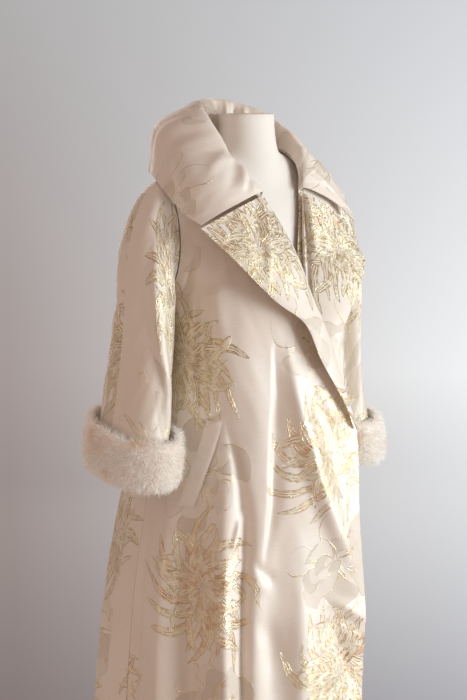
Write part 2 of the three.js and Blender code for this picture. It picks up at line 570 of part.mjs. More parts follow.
// A point on a sleeve: the angle starts at the outer side and runs over the front
function sleevePoint(table, side, angle, v) {
  const tube = (at) => {
    const forward = column(table, 'depth', at) * Math.sin(angle);
    return new THREE.Vector3(
      side * (column(table, 'x', at) + column(table, 'across', at) * Math.cos(angle)),
      column(table, 'y', at) - forward,
      column(table, 'z', at) - CUFF_TILT * at * forward,
    );
  };
  if (v >= CAP_SHARE) return tube((v - CAP_SHARE) / (1 - CAP_SHARE));
  const start = armhole(side, angle);
  const high = (1 + Math.cos(angle)) / 2;
  start.x += side * mix(CAP_STEP.low, CAP_STEP.high, high);
  const lead = start.clone();
  lead.x += side * mix(CAP.outLow, CAP.outHigh, high);
  lead.z -= mix(CAP.dropLow, CAP.dropHigh, high);
  const end = tube(0);
  const follow = end.clone();
  follow.z += mix(CAP.followLow, CAP.followHigh, high);
  return bezier(start, lead, follow, end, v / CAP_SHARE);
}

function sleeveWall(table, side) {
  const points = [];
  for (let j = 0; j <= SLEEVE_ROWS; j += 1) {
    const row = [];
    for (let i = 0; i < SLEEVE_COLUMNS; i += 1) {
      row.push(sleevePoint(table, side, (i / SLEEVE_COLUMNS) * 2 * Math.PI, j / SLEEVE_ROWS));
    }
    points.push(row);
  }
  return wall(points, moveAlongNormals(points, side < 0 ? CLOTH : -CLOTH, true), true);
}

// A ring round the sleeve's lower end, moved out by a distance and up by a height
function cuffRingPoint(table, side, angle, out, up) {
  const low = table[table.length - 1];
  const next = table[table.length - 2];
  const foot = low.z - CUFF_FOOT_DROP;
  const rise = up / (next.z - low.z);
  const inward = Math.max(0, -Math.cos(angle));
  const sideOut = out * mix(1, CUFF_INNER_SHARE, inward * inward);
  const x = mix(low.x, next.x, rise) + (low.across + CUFF_CLEARANCE + sideOut) * Math.cos(angle);
  const y = mix(low.y, next.y, rise) - (low.depth + CUFF_CLEARANCE + out) * Math.sin(angle);
  return new THREE.Vector3(side * x, y, foot + up + CUFF_TILT * (y - low.y));
}

function furCuff(table, side) {
  const points = FUR_SECTION.map((row) => {
    const ring = [];
    for (let i = 0; i < CUFF_COLUMNS; i += 1) {
      const angle = (i / CUFF_COLUMNS) * 2 * Math.PI;
      ring.push(cuffRingPoint(table, side, angle, row.out * FUR_DEPTH, row.up * CUFF_HEIGHT));
    }
    return ring;
  });
  const positions = points.flat().flatMap((p) => [p.x, p.y, p.z]);
  const index = [];
  for (let j = 0; j < points.length; j += 1) {
    for (let i = 0; i < CUFF_COLUMNS; i += 1) {
      const next = (i + 1) % CUFF_COLUMNS;
      const a = j * CUFF_COLUMNS;
      const b = ((j + 1) % points.length) * CUFF_COLUMNS;
      index.push(a + i, a + next, b + next, a + i, b + next, b + i);
    }
  }
  return facingOut(positions, index);
}

// Pocket welt: a strip laid on the front panel's skin, moved out from it
function weltWall(table, folds, side) {
  const outward = side < 0 ? 1 : -1;
  const place = (u, z) => {
    const v = findRow(table, side, u, z);
    const step = 0.01;
    const p = frontPoint(table, side, u, v);
    const du = frontPoint(table, side, u + step, v).sub(p);
    const dv = frontPoint(table, side, u, v + step).sub(p);
    const normal = new THREE.Vector3().crossVectors(du, dv).normalize().multiplyScalar(outward);
    const width = column(BODY_SIZES, 'right', p.z) * FRONT_SPREAD;
    return { p, normal, fold: foldDepth(folds, u, p.z, width) };
  };
  const strip = (lift) => grid(3, 8, (s, t) => {
    const u = mix(WELT.uTop, WELT.uFoot, t) + (s - 0.5) * (WELT.width / 400);
    const { p, normal, fold } = place(u, WELT.zTop - WELT.length * t);
    return p.addScaledVector(normal, fold + lift);
  });
  return wall(strip(WELT.lift + CLOTH), strip(WELT.lift));
}

function findRow(table, side, u, z) {
  let low = UNDERARM_V;
  let high = 1;
  for (let k = 0; k < 30; k += 1) {
    const middle = (low + high) / 2;
    if (frontPoint(table, side, u, middle).z > z) low = middle;
    else high = middle;
  }
  return low;
}

function dressForm() {
  const around = 24;
  const steps = 26;
  const rings = [];
  for (let j = 0; j <= steps; j += 1) {
    const at = j / steps;
    const read = (name) => column(FORM_SIZES, name, at);
    const ring = [];
    for (let i = 0; i < around; i += 1) {
      const angle = (i / around) * 2 * Math.PI;
      const sideShare = Math.cos(angle) ** 2;
      const front = Math.sin(angle) < 0;
      const depth = front ? read('front') : read('back');
      const middleZ = front ? read('frontZ') : read('backZ');
      ring.push(new THREE.Vector3(read('side') * Math.cos(angle), depth * Math.sin(angle),
        mix(middleZ, read('sideZ'), sideShare)));
    }
    rings.push(ring);
  }
  return ringSolid(rings);
}

function formPole() {
  const top = FORM_SIZES[FORM_SIZES.length - 1].sideZ - SEAM_GAP;
  const bottom = BASE_HEIGHT + SEAM_GAP;
  const geometry = new THREE.CylinderGeometry(POLE_RADIUS, POLE_RADIUS, top - bottom, 20);
  geometry.rotateX(Math.PI / 2);
  geometry.translate(0, 0, (top + bottom) / 2);
  return geometry;
}

function formBase() {
  const profile = [[0, 0], [BASE_RADIUS, 0], [BASE_RADIUS, 8], [BASE_RADIUS - 8, 14],
    [40, BASE_HEIGHT], [0, BASE_HEIGHT]].map(([r, z]) => new THREE.Vector2(r, z));
  const geometry = new THREE.LatheGeometry(profile, 32);
  geometry.rotateX(Math.PI / 2);
  return geometry;
}

function buildCoat() {
  const group = new THREE.Group();
  addPiece(group, 'form_torso', dressForm(), 'form');
  addPiece(group, 'form_pole', formPole(), 'stand');
  addPiece(group, 'form_base', formBase(), 'stand');
  addPiece(group, 'back', backWall(), 'brocade');
  addPiece(group, 'front_right', frontWall(RIGHT_FRONT_EDGE, RIGHT_FRONT_FOLDS, -1), 'brocade');
  addPiece(group, 'front_left', frontWall(LEFT_FRONT_EDGE, LEFT_FRONT_FOLDS, 1), 'brocade');
  addPiece(group, 'lapel_right', lapelWall(RIGHT_LAPEL, -1), 'brocade');
  addPiece(group, 'lapel_left', lapelWall(LEFT_LAPEL, 1), 'brocade');
  addPiece(group, 'collar', collarWall(), 'brocade');
  addPiece(group, 'pocket_welt_right', weltWall(RIGHT_FRONT_EDGE, RIGHT_FRONT_FOLDS, -1), 'brocade');
  addPiece(group, 'pocket_welt_left', weltWall(LEFT_FRONT_EDGE, LEFT_FRONT_FOLDS, 1), 'brocade');
  for (const [label, side, table] of [['right', -1, RIGHT_SLEEVE], ['left', 1, LEFT_SLEEVE]]) {
    addPiece(group, `sleeve_${label}`, sleeveWall(table, side), 'brocade');
    addPiece(group, `fur_cuff_${label}`, furCuff(table, side), 'fur');
  }
  return group;
}

export default buildCoat();
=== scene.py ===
"""Looks of an evening coat in satin brocade on a limbless dress form.

Every shape is worked out from the same named sizes as the solids, at a finer step, with the
smaller creases added from lists. Lengths are millimetres while a shape is worked out and metres in
the finished mesh. The coat faces -Y and the wearer's right is -X.
"""

import logging
import math
from dataclasses import dataclass, field
from enum import Enum
from typing import Any, Sequence

import bmesh
import bpy
import numpy as np
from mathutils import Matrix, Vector


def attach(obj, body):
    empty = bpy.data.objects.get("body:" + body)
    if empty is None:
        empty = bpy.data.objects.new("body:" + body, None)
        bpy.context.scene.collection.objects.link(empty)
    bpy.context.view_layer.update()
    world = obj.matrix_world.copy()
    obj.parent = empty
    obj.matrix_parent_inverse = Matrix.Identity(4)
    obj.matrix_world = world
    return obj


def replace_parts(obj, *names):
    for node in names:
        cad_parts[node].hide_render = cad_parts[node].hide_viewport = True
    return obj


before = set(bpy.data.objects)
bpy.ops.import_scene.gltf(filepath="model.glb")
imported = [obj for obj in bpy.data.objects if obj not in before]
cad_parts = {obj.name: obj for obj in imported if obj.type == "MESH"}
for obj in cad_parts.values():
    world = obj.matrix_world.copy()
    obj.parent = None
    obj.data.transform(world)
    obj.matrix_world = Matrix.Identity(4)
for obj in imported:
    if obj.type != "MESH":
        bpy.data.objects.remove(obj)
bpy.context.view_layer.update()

LOG = logging.getLogger("evening_coat")
Array = np.ndarray

SEAM_GAP = 0.3
HEM_Z = 215.0
UNDERARM_Z = 1254.0
UNDERARM_V = 0.22
SHOULDER_Z = 1446.0
SHOULDER_X = 193.0
UNDERARM_X = 186.0
ARMHOLE_Y = 14.0
ARMHOLE_HALF_DEPTH = 54.0
NECK_SIDE = (82.0, 5.0, 1495.0)
NECK_BACK = (78.0, 1484.0)
BACK_NECK_SHARE = 0.42
FRONT_SPREAD = 1.75
BACK_SPREAD = 1.6
CUFF_TILT = 0.2


class Side(Enum):
    """Which side of the wearer a piece is on."""

    RIGHT = -1
    LEFT = 1

    @property
    def word(self) -> str:
        """Name of the side as used in the nodes."""
        return self.name.lower()


class Table:
    """A table of named columns that is read smoothly between its rows."""

    def __init__(self, names: str, rows: Sequence[Sequence[float]]) -> None:
        """Keep the rows.

        Args:
            names: Column names, the first of them the value the rows rise in.
            rows: One sequence of numbers for each row.
        """
        self.names = names.split()
        self.rows = np.array(rows, float)

    def read(self, name: str, at: Array | float) -> Array:
        """Read one column.

        Args:
            name: The column's name.
            at: Where to read, one or many values of the first column.

        Returns:
            The column's values there.
        """
        x = self.rows[:, 0]
        y = self.rows[:, self.names.index(name)]
        at = np.asarray(at, float)
        i = np.clip(np.searchsorted(x, at, side="left") - 1, 0, len(x) - 2)
        low = np.maximum(np.arange(len(x)) - 1, 0)
        high = np.minimum(np.arange(len(x)) + 1, len(x) - 1)
        slope = (y[high] - y[low]) / (x[high] - x[low])
        span = x[i + 1] - x[i]
        t = np.clip((at - x[i]) / span, 0, 1)
        return (
            y[i] * (2 * t**3 - 3 * t**2 + 1)
            + slope[i] * span * (t**3 - 2 * t**2 + t)
            + y[i + 1] * (3 * t**2 - 2 * t**3)
            + slope[i + 1] * span * (t**3 - t**2)
        )

    def point(self, stem: str, at: Array) -> Array:
        """Read three columns that together give a point, such as edgeX, edgeY and edgeZ."""
        return np.stack([self.read(stem + axis, at) for axis in "XYZ"], -1)


BODY = Table("at right left", [
    (215, 300, 262), (500, 277, 243), (650, 264, 234), (762, 250, 227), (910, 222, 212),
    (985, 208, 204), (1045, 202, 200), (1110, 197, 196), (1254, 186, 186),
])
EDGE_COLUMNS = "at x y z inReach outReach inTurn outTurn"
RIGHT_EDGE = Table(EDGE_COLUMNS, [
    (0.00, -82, 5, 1495, 37, 37, 0, 0), (0.04, -78, -45, 1466, 37, 34, 0, 15),
    (0.08, -56, -93, 1421, 48, 46, -6, 42), (0.13, -29, -116, 1370, 62, 58, -6, 52),
    (0.17, -15, -138, 1317, 75, 66, -2, 60), (0.22, 2, -160, 1250, 105, 92, 0, 86),
    (0.27, 17, -174, 1190, 125, 112, 0, 90), (0.32, 32, -188, 1130, 140, 120, 0, 90),
    (0.38, 53, -199, 1060, 155, 126, 0, 90), (0.43, 76, -205, 1000, 175, 132, 0, 90),
    (0.60, 73, -220, 760, 200, 145, 0, 90), (0.80, 65, -237, 500, 215, 158, 0, 90),
    (1.00, 58, -250, 215, 230, 168, 0, 90),
])
LEFT_EDGE = Table(EDGE_COLUMNS, [
    (0.00, 82, 5, 1495, 37, 37, 0, 0), (0.04, 78, -43, 1467, 37, 34, 0, 15),
    (0.08, 68, -58, 1421, 48, 46, 14, 42), (0.13, 57, -70, 1370, 62, 50, 14, 50),
    (0.17, 44, -82, 1317, 75, 58, 14, 60), (0.22, 22, -110, 1250, 95, 84, 15, 86),
    (0.27, 2, -138, 1190, 115, 92, 7, 90), (0.32, -18, -156, 1130, 128, 92, 0, 90),
    (0.38, -40, -168, 1060, 138, 86, -3, 90), (0.43, -52, -172, 1000, 142, 78, -6, 90),
    (0.60, -55, -186, 760, 138, 62, -8, 90), (0.80, -58, -202, 500, 134, 56, -8, 90),
    (1.00, -60, -215, 215, 140, 60, -8, 90),
])
BACK_CENTRE = Table("at y z inReach outReach outTurn", [
    (0.00, 78, 1484, 60, 50, 0), (0.05, 96, 1440, 85, 62, 12), (0.10, 110, 1392, 90, 56, 36),
    (0.16, 122, 1325, 92, 56, 58), (0.22, 130, 1254, 104, 74, 88), (0.32, 152, 1130, 116, 88, 90),
    (0.43, 174, 1000, 130, 102, 90), (0.60, 204, 760, 152, 120, 90),
    (0.80, 231, 500, 172, 136, 90), (1.00, 255, 215, 186, 150, 90),
])
LAPEL_COLUMNS = "at rollX rollY rollZ edgeX edgeY edgeZ puff"
RIGHT_LAPEL = Table(LAPEL_COLUMNS, [
    (0.00, -52, -98, 1425, -191, -97, 1371, 17), (0.14, -27, -120, 1370, -149, -130, 1321, 19),
    (0.28, -11, -143, 1317, -112, -155, 1275, 19), (0.42, 3, -162, 1257, -83, -172, 1243, 17),
    (0.56, 19, -180, 1197, -38, -192, 1205, 14), (0.72, 36, -193, 1133, -14, -207, 1142, 11),
    (0.86, 54, -203, 1068, 26, -213, 1078, 7), (1.00, 73, -208, 1010, 63, -215, 1018, 3),
])
LEFT_LAPEL = Table(LAPEL_COLUMNS, [
    (0.00, 66, -63, 1421, 160, -88, 1364, 16), (0.14, 56, -74, 1375, 166, -108, 1322, 18),
    (0.28, 46, -86, 1320, 176, -120, 1296, 20), (0.44, 25, -116, 1252, 143, -140, 1252, 18),
    (0.60, 5, -146, 1192, 79, -167, 1187, 12), (0.78, -14, -169, 1135, 40, -180, 1134, 6),
    (1.00, -28, -174, 1096, -12, -178, 1098, 1),
])
COLLAR_TABLE = Table("at footX footY footZ ridgeX ridgeY ridgeZ bendX bendY bendZ edgeX edgeY edgeZ", [
    (0.00, -52, -94, 1423, -54, -100, 1428, -126, -113, 1410, -189, -93, 1378),
    (0.07, -62, -80, 1440, -72, -92, 1452, -150, -92, 1436, -198, -64, 1392),
    (0.13, -72, -62, 1455, -86, -72, 1478, -164, -64, 1462, -206, -44, 1412),
    (0.19, -77, -42, 1472, -90, -50, 1496, -168, -32, 1488, -208, -16, 1433),
    (0.25, -79, -18, 1488, -92, -26, 1526, -168, 6, 1512, -199, 20, 1452),
    (0.31, -79, 8, 1496, -90, 2, 1552, -162, 46, 1530, -176, 62, 1460),
    (0.39, -60, 48, 1492, -66, 52, 1576, -122, 104, 1545, -128, 118, 1456),
    (0.50, 0, 74, 1487, 0, 90, 1586, 0, 154, 1545, 0, 166, 1444),
    (0.61, 60, 48, 1492, 66, 50, 1566, 118, 100, 1524, 134, 116, 1446),
    (0.69, 79, 8, 1496, 90, 4, 1534, 144, 42, 1498, 168, 50, 1466),
    (0.75, 79, -14, 1489, 93, -22, 1514, 148, 4, 1488, 176, 14, 1466),
    (0.81, 76, -31, 1480, 93, -42, 1496, 150, -24, 1472, 178, -20, 1452),
    (0.87, 74, -44, 1467, 88, -54, 1476, 148, -48, 1452, 184, -46, 1416),
    (0.93, 71, -53, 1450, 79, -62, 1452, 140, -66, 1429, 191, -62, 1387),
    (1.00, 66, -61, 1424, 68, -67, 1429, 128, -80, 1406, 195, -75, 1363),
])
SLEEVE_COLUMNS = "at x y z across depth"
RIGHT_SLEEVE = Table(SLEEVE_COLUMNS, [
    (0.00, 234, 4, 1238, 43, 66), (0.25, 243, 1, 1175, 46, 70), (0.50, 255, -4, 1100, 49, 72),
    (0.75, 268, -9, 1030, 50, 74), (1.00, 281, -14, 952, 51, 76),
])
LEFT_SLEEVE = Table(SLEEVE_COLUMNS, [
    (0.00, 234, 26, 1238, 43, 62), (0.25, 242, 38, 1170, 45, 62), (0.50, 252, 44, 1090, 47, 64),
    (0.75, 264, 44, 1005, 49, 67), (1.00, 279, 38, 908, 51, 72),
])
FORM_TABLE = Table("at side front back sideZ frontZ backZ", [
    (0.00, 42, 30, 54, 1560, 1560, 1560), (0.02, 49, 37, 61, 1559, 1559, 1559),
    (0.09, 50, 40, 60, 1536, 1534, 1536), (0.17, 54, 45, 60, 1508, 1492, 1506),
    (0.22, 63, 50, 62, 1493, 1460, 1478), (0.28, 96, 53, 66, 1479.3, 1426, 1440),
    (0.35, 138, 62, 76, 1462.3, 1390, 1400), (0.40, 158, 68, 86, 1440, 1360, 1368),
    (0.46, 162, 74, 94, 1405, 1325, 1335), (0.56, 156, 86, 100, 1320, 1270, 1280),
    (0.70, 132, 86, 88, 1160, 1160, 1160), (0.80, 128, 86, 86, 1080, 1080, 1080),
    (0.92, 154, 104, 110, 930, 930, 930), (0.99, 158, 108, 116, 852, 852, 852),
    (1.00, 150, 100, 108, 846, 846, 846),
])


@dataclass(frozen=True)
class Fold:
    """A long soft fold that opens towards the hem; a negative depth is a trough."""

    top: float
    hem: float
    start: float
    width: float
    depth: float


@dataclass(frozen=True)
class Crease:
    """One crease placed on a piece.

    The path is in the piece's own across and along values, the sizes are millimetres, and
    far_side below 1 makes the crease steeper on its far side.
    """

    path: tuple[tuple[float, float], ...]
    width: float
    depth: float
    far_side: float = 1.0


RIGHT_FOLDS = (
    Fold(0.30, -0.30, 1180, 28, 13), Fold(0.32, 0.36, 1160, 28, -11), Fold(0.535, 0.41, 1011, 23, -16),
    Fold(0.60, 0.47, 1011, 26, 12), Fold(0.74, 0.68, 1200, 34, -10), Fold(0.86, 0.80, 980, 32, 13),
)
LEFT_FOLDS = (
    Fold(0.45, 0.40, 1060, 38, -11), Fold(0.58, 0.54, 1020, 36, 14),
    Fold(0.72, 0.68, 980, 34, -14), Fold(0.88, 0.83, 960, 32, 13),
)
BACK_FOLDS = (
    Fold(-0.90, -0.86, 980, 32, 14), Fold(-0.74, -0.70, 1040, 34, -15),
    Fold(-0.56, -0.52, 1090, 36, 16), Fold(-0.34, -0.33, 1060, 34, -13),
    Fold(-0.12, -0.12, 1120, 40, 14), Fold(0.12, 0.14, 1080, 36, -12),
    Fold(0.36, 0.36, 1100, 38, 17), Fold(0.58, 0.57, 1040, 34, -14), Fold(0.80, 0.78, 990, 34, 15),
)


RIGHT_CREASES = (
    Crease(((0.23, 1150), (0.235, 1074), (0.235, 1020), (0.21, 967), (0.17, 912), (0.11, 838), (0.045, 770)),
           24, 12, 0.55),
    Crease(((0.15, 1090), (0.12, 1000), (0.08, 900), (0.04, 830)), 26, -6),
    Crease(((0.30, 1160), (0.325, 1078), (0.35, 1026), (0.365, 974), (0.365, 890), (0.385, 800)), 16, -9,
    0.45),
    Crease(((0.59, 1030), (0.535, 949), (0.505, 898), (0.48, 840), (0.47, 734), (0.465, 630), (0.455, 480),
            (0.44, 300)), 15, -9, 0.4),
    Crease(((0.60, 1000), (0.575, 900), (0.555, 804), (0.54, 700), (0.52, 567), (0.50, 380)), 22, 8),
    Crease(((0.49, 890), (0.515, 845), (0.53, 820)), 9, 4, 0.6),
    Crease(((0.43, 795), (0.39, 776), (0.34, 762)), 11, -5, 0.5),
    Crease(((0.44, 775), (0.40, 755), (0.36, 745)), 14, 4),
    Crease(((0.12, 712), (0.06, 690), (0.01, 665)), 12, 6, 0.5),
    Crease(((0.10, 660), (0.07, 610), (0.035, 545)), 13, -5, 0.6),
    Crease(((0.395, 700), (0.33, 640), (0.29, 560), (0.28, 420)), 26, -6),
    Crease(((0.245, 760), (0.235, 655), (0.235, 520), (0.24, 350)), 24, 6, 0.7),
    Crease(((0.70, 1270), (0.72, 1180), (0.725, 1100), (0.72, 1050)), 22, -7, 0.6),
    Crease(((0.60, 1290), (0.585, 1200), (0.56, 1120), (0.54, 1030)), 26, 6),
    Crease(((0.47, 1240), (0.46, 1150), (0.45, 1060), (0.44, 960)), 30, 5),
    Crease(((0.86, 1320), (0.88, 1280), (0.83, 1240), (0.80, 1190)), 13, -5, 0.6),
    Crease(((0.60, 1056), (0.64, 1046), (0.69, 1036), (0.73, 1030)), 5, -3.5, 0.7),
    Crease(((0.59, 1048), (0.64, 1038), (0.69, 1028), (0.72, 1022)), 5, 2.6),
    Crease(((0.605, 1040), (0.66, 965), (0.725, 880)), 5, -2.2),
    Crease(((0.97, 900), (0.975, 700), (0.97, 500), (0.97, 300)), 20, -6),
    Crease(((0.86, 900), (0.835, 760), (0.82, 600), (0.81, 400)), 22, 5, 0.7),
    Crease(((0.74, 880), (0.71, 780), (0.685, 640), (0.68, 450)), 30, -6),
)
LEFT_CREASES = (
    Crease(((0.46, 1160), (0.48, 1080), (0.50, 1000), (0.50, 880)), 20, -7, 0.6),
    Crease(((0.36, 1130), (0.37, 1050), (0.36, 940)), 24, 7, 0.6),
    Crease(((0.62, 1140), (0.64, 1020), (0.66, 860)), 22, 6),
    Crease(((0.75, 1000), (0.74, 820), (0.72, 560)), 20, -8, 0.5),
    Crease(((0.50, 760), (0.47, 600), (0.46, 380)), 22, -7, 0.6),
    Crease(((0.60, 800), (0.58, 620), (0.56, 380)), 24, 7),
    Crease(((0.88, 980), (0.87, 760), (0.85, 480)), 22, 6, 0.7),
    Crease(((0.80, 1290), (0.84, 1250), (0.80, 1210)), 13, -4),
)
BACK_CREASES = (
    Crease(((-0.60, 1150), (-0.57, 960), (-0.53, 700), (-0.52, 420)), 18, 6, 0.5),
    Crease(((-0.40, 1100), (-0.38, 900), (-0.36, 600)), 18, -6, 0.5),
    Crease(((-0.22, 1260), (-0.20, 1120), (-0.18, 900)), 24, -5),
    Crease(((-0.06, 1180), (-0.08, 980), (-0.10, 700), (-0.10, 400)), 18, 6, 0.6),
    Crease(((0.05, 1330), (0.04, 1240), (0.06, 1120)), 26, -4),
    Crease(((0.20, 1120), (0.22, 900), (0.24, 600), (0.24, 380)), 18, -7, 0.5),
    Crease(((0.40, 1160), (0.38, 940), (0.38, 640)), 20, 6, 0.6),
    Crease(((0.66, 1080), (0.66, 860), (0.67, 520)), 18, -6, 0.5),
    Crease(((0.82, 1000), (0.81, 760), (0.79, 420)), 20, 6, 0.6),
    Crease(((-0.80, 1020), (-0.78, 800), (-0.76, 500)), 18, -6, 0.5),
    Crease(((0.86, 1330), (0.80, 1290), (0.76, 1240)), 14, -4),
    Crease(((-0.86, 1330), (-0.80, 1290), (-0.74, 1230)), 14, -4),
)
RIGHT_LAPEL_CREASES = (
    Crease(((0.30, -20), (0.46, 20), (0.66, 62), (0.92, 118)), 9, 4.5, 0.6),
    Crease(((0.44, -20), (0.60, 20), (0.78, 60)), 8, -3.0),
    Crease(((0.70, 0), (0.82, 40), (0.93, 80)), 10, 2.5),
    Crease(((0.20, 110), (0.30, 190), (0.40, 260)), 11, -2.5),
)
LEFT_LAPEL_CREASES = (
    Crease(((0.21, -10), (0.27, 48), (0.31, 94), (0.30, 168), (0.24, 240)), 9, -5, 0.6),
    Crease(((0.36, 0), (0.42, 60), (0.46, 120)), 11, 3.5),
    Crease(((0.66, 20), (0.72, 80), (0.70, 130)), 10, -2.5),
)
COLLAR_CREASES = (
    Crease(((0.12, 62), (0.07, 84), (0.03, 100)), 8, 4.2, 0.6),
    Crease(((0.16, 60), (0.10, 88), (0.055, 112)), 9, -3.0),
    Crease(((0.09, 66), (0.045, 84), (0.015, 96)), 6, -2.8, 0.6),
    Crease(((0.20, 66), (0.15, 92), (0.11, 120)), 12, 3.0),
    Crease(((0.24, 150), (0.20, 162), (0.155, 174)), 12, 3.2, 0.7),
    Crease(((0.26, 90), (0.255, 130), (0.25, 165)), 18, -2.5),
    Crease(((0.32, 70), (0.31, 110), (0.31, 150)), 16, 2.5),
    Crease(((0.455, 20), (0.46, 44), (0.462, 58)), 6, 3.0),
    Crease(((0.485, 16), (0.49, 42), (0.492, 60)), 6, -3.2, 0.6),
    Crease(((0.515, 20), (0.52, 44), (0.523, 58)), 6, 3.0),
    Crease(((0.54, 18), (0.545, 42), (0.547, 60)), 6, -3.2, 0.6),
    Crease(((0.57, 22), (0.573, 44), (0.575, 58)), 6, 2.8),
    Crease(((0.40, 80), (0.41, 120), (0.42, 160)), 18, -2.5),
    Crease(((0.60, 80), (0.59, 120), (0.58, 160)), 18, 2.5),
    Crease(((0.78, 60), (0.80, 100), (0.82, 140)), 10, -2.6),
    Crease(((0.88, 66), (0.92, 100), (0.95, 140)), 10, 2.6),
)
RIGHT_SLEEVE_CREASES = (
    Crease(((0.64, 100), (0.67, 175), (0.713, 269), (0.758, 333), (0.81, 430)), 16, 8, 0.6),
    Crease(((0.76, 150), (0.80, 250), (0.86, 360)), 22, -6),
    Crease(((0.60, 40), (0.58, 90), (0.55, 150)), 16, 3.5),
    Crease(((0.48, 200), (0.49, 300), (0.48, 400)), 30, -3),
    Crease(((0.56, 300), (0.54, 380), (0.50, 450)), 22, -3.5, 0.6),
    Crease(((0.36, 120), (0.33, 220), (0.32, 340)), 22, -4),
    Crease(((0.22, 160), (0.24, 280), (0.26, 400)), 22, 4),
    Crease(((0.68, 20), (0.66, 50), (0.62, 80)), 12, -3),
)
LEFT_SLEEVE_CREASES = (
    Crease(((0.66, 120), (0.70, 230), (0.72, 340), (0.74, 440)), 16, 7, 0.6),
    Crease(((0.80, 180), (0.82, 300), (0.84, 420)), 20, -6),
    Crease(((0.52, 140), (0.50, 260), (0.50, 400)), 26, -4, 0.7),
    Crease(((0.36, 120), (0.34, 240), (0.33, 380)), 22, -4),
    Crease(((0.20, 180), (0.22, 300), (0.24, 420)), 22, 4),
)


def mix(a: Any, b: Any, t: Any) -> Any:
    """Value a share t of the way from a to b."""
    return a + (b - a) * t


def ramp(t: Any) -> Any:
    """Smooth rise from 0 to 1."""
    c = np.clip(t, 0, 1)
    return c * c * (3 - 2 * c)


def stack(x: Any, y: Any, z: Any) -> Array:
    """Points from three arrays that are first brought to one shape."""
    return np.stack(np.broadcast_arrays(x, y, z), -1).astype(float)


def bezier(a: Array, b: Array, c: Array, d: Array, t: Array) -> Array:
    """Point on a cubic curve with end points a and d and handles b and c."""
    t = np.asarray(t)[..., None]
    s = 1 - t
    return a * s**3 + b * 3 * s * s * t + c * 3 * s * t * t + d * t**3


def unit(v: Array) -> Array:
    """Vectors brought to a length of one."""
    return v / np.maximum(np.linalg.norm(v, axis=-1, keepdims=True), 1e-12)


def grid_normals(points: Array, closed: bool = False) -> Array:
    """Normals of a grid of points.

    Args:
        points: Rows by columns by three.
        closed: Whether the last column meets the first; it repeats the first column then.

    Returns:
        One normal for each point.
    """
    if closed:
        ring = points[:, :-1]
        across = np.roll(ring, -1, 1) - np.roll(ring, 1, 1)
        across = np.concatenate([across, across[:, :1]], 1)
    else:
        across = np.gradient(points, axis=1)
    return unit(np.cross(across, np.gradient(points, axis=0)))


def armhole(side: int, angle: Array) -> Array:
    """Loop where a sleeve is set in, from the shoulder over the front to the underarm."""
    cos = np.cos(angle)
    high = (1 + cos) / 2
    return stack(
        side * mix(UNDERARM_X, SHOULDER_X, high),
        ARMHOLE_Y - ARMHOLE_HALF_DEPTH * np.sin(angle),
        mix(UNDERARM_Z, SHOULDER_Z, high),
    )


def panel_edge(side: int, v: Array, facing: int) -> Array:
    """Outer edge of a body panel: the armhole above the underarm, the side seam below it."""
    shift = SEAM_GAP / 2
    hole = armhole(side, facing * math.pi * v / UNDERARM_V)
    z = mix(UNDERARM_Z, HEM_Z, (v - UNDERARM_V) / (1 - UNDERARM_V))
    seam = stack(side * BODY.read("right" if side < 0 else "left", z), ARMHOLE_Y, z)
    edge = np.where((v < UNDERARM_V)[..., None], hole, seam)
    edge[..., 1] -= facing * shift
    return edge


def front_point(table: Table, side: int, u: Array, v: Array) -> Array:
    """Point on a front panel, u from the front edge to the side, v from the shoulder down."""
    inner = stack(table.read("x", v), table.read("y", v), table.read("z", v))
    outer = panel_edge(side, v, 1)
    turns = [np.radians(table.read(name, v)) for name in ("inTurn", "outTurn")]
    reaches = [table.read(name, v) for name in ("inReach", "outReach")]
    b = inner + stack(side * reaches[0] * np.cos(turns[0]), -reaches[0] * np.sin(turns[0]), 0)
    c = outer + stack(-side * reaches[1] * np.cos(turns[1]), -reaches[1] * np.sin(turns[1]), 0)
    b[..., 2] = mix(inner[..., 2], outer[..., 2], 0.33)
    c[..., 2] = mix(inner[..., 2], outer[..., 2], 0.67)
    return bezier(inner, b, c, outer, u)


def back_top(side: Array, across: Array) -> Array:
    """Top edge of the back: the neckline and then the shoulder seam."""
    seam_y = NECK_SIDE[1] + SEAM_GAP
    turn = across / BACK_NECK_SHARE * math.pi / 2
    neck = stack(
        side * NECK_SIDE[0] * np.sin(turn),
        mix(seam_y, NECK_BACK[0], np.cos(turn)),
        mix(NECK_SIDE[2], NECK_BACK[1], np.cos(turn)),
    )
    t = (across - BACK_NECK_SHARE) / (1 - BACK_NECK_SHARE)
    shoulder = stack(
        side * mix(NECK_SIDE[0], SHOULDER_X, t),
        mix(seam_y, ARMHOLE_Y + SEAM_GAP / 2, ramp(t)),
        mix(NECK_SIDE[2], SHOULDER_Z, t),
    )
    return np.where((across < BACK_NECK_SHARE)[..., None], neck, shoulder)


def back_point(u: Array, v: Array) -> Array:
    """Point on the back, u from -1 at the right to 1 at the left."""
    across = np.abs(u)
    halves = {s: panel_edge(s, v, -1) for s in (-1, 1)}
    outer = np.where((u < 0)[..., None], halves[-1], halves[1])
    side = np.where(u < 0, -1, 1)
    inner = stack(0, BACK_CENTRE.read("y", v), BACK_CENTRE.read("z", v))
    turn = np.radians(BACK_CENTRE.read("outTurn", v))
    reach = BACK_CENTRE.read("outReach", v)
    b = inner + stack(side * BACK_CENTRE.read("inReach", v), 0, 0)
    c = outer + stack(-side * reach * np.cos(turn), reach * np.sin(turn), 0)
    b[..., 2] = mix(inner[..., 2], outer[..., 2], 0.33)
    c[..., 2] = mix(inner[..., 2], outer[..., 2], 0.67)
    p = bezier(inner, b, c, outer, across)
    return mix(p, back_top(side, across), (1 - ramp(v / 0.06))[..., None])


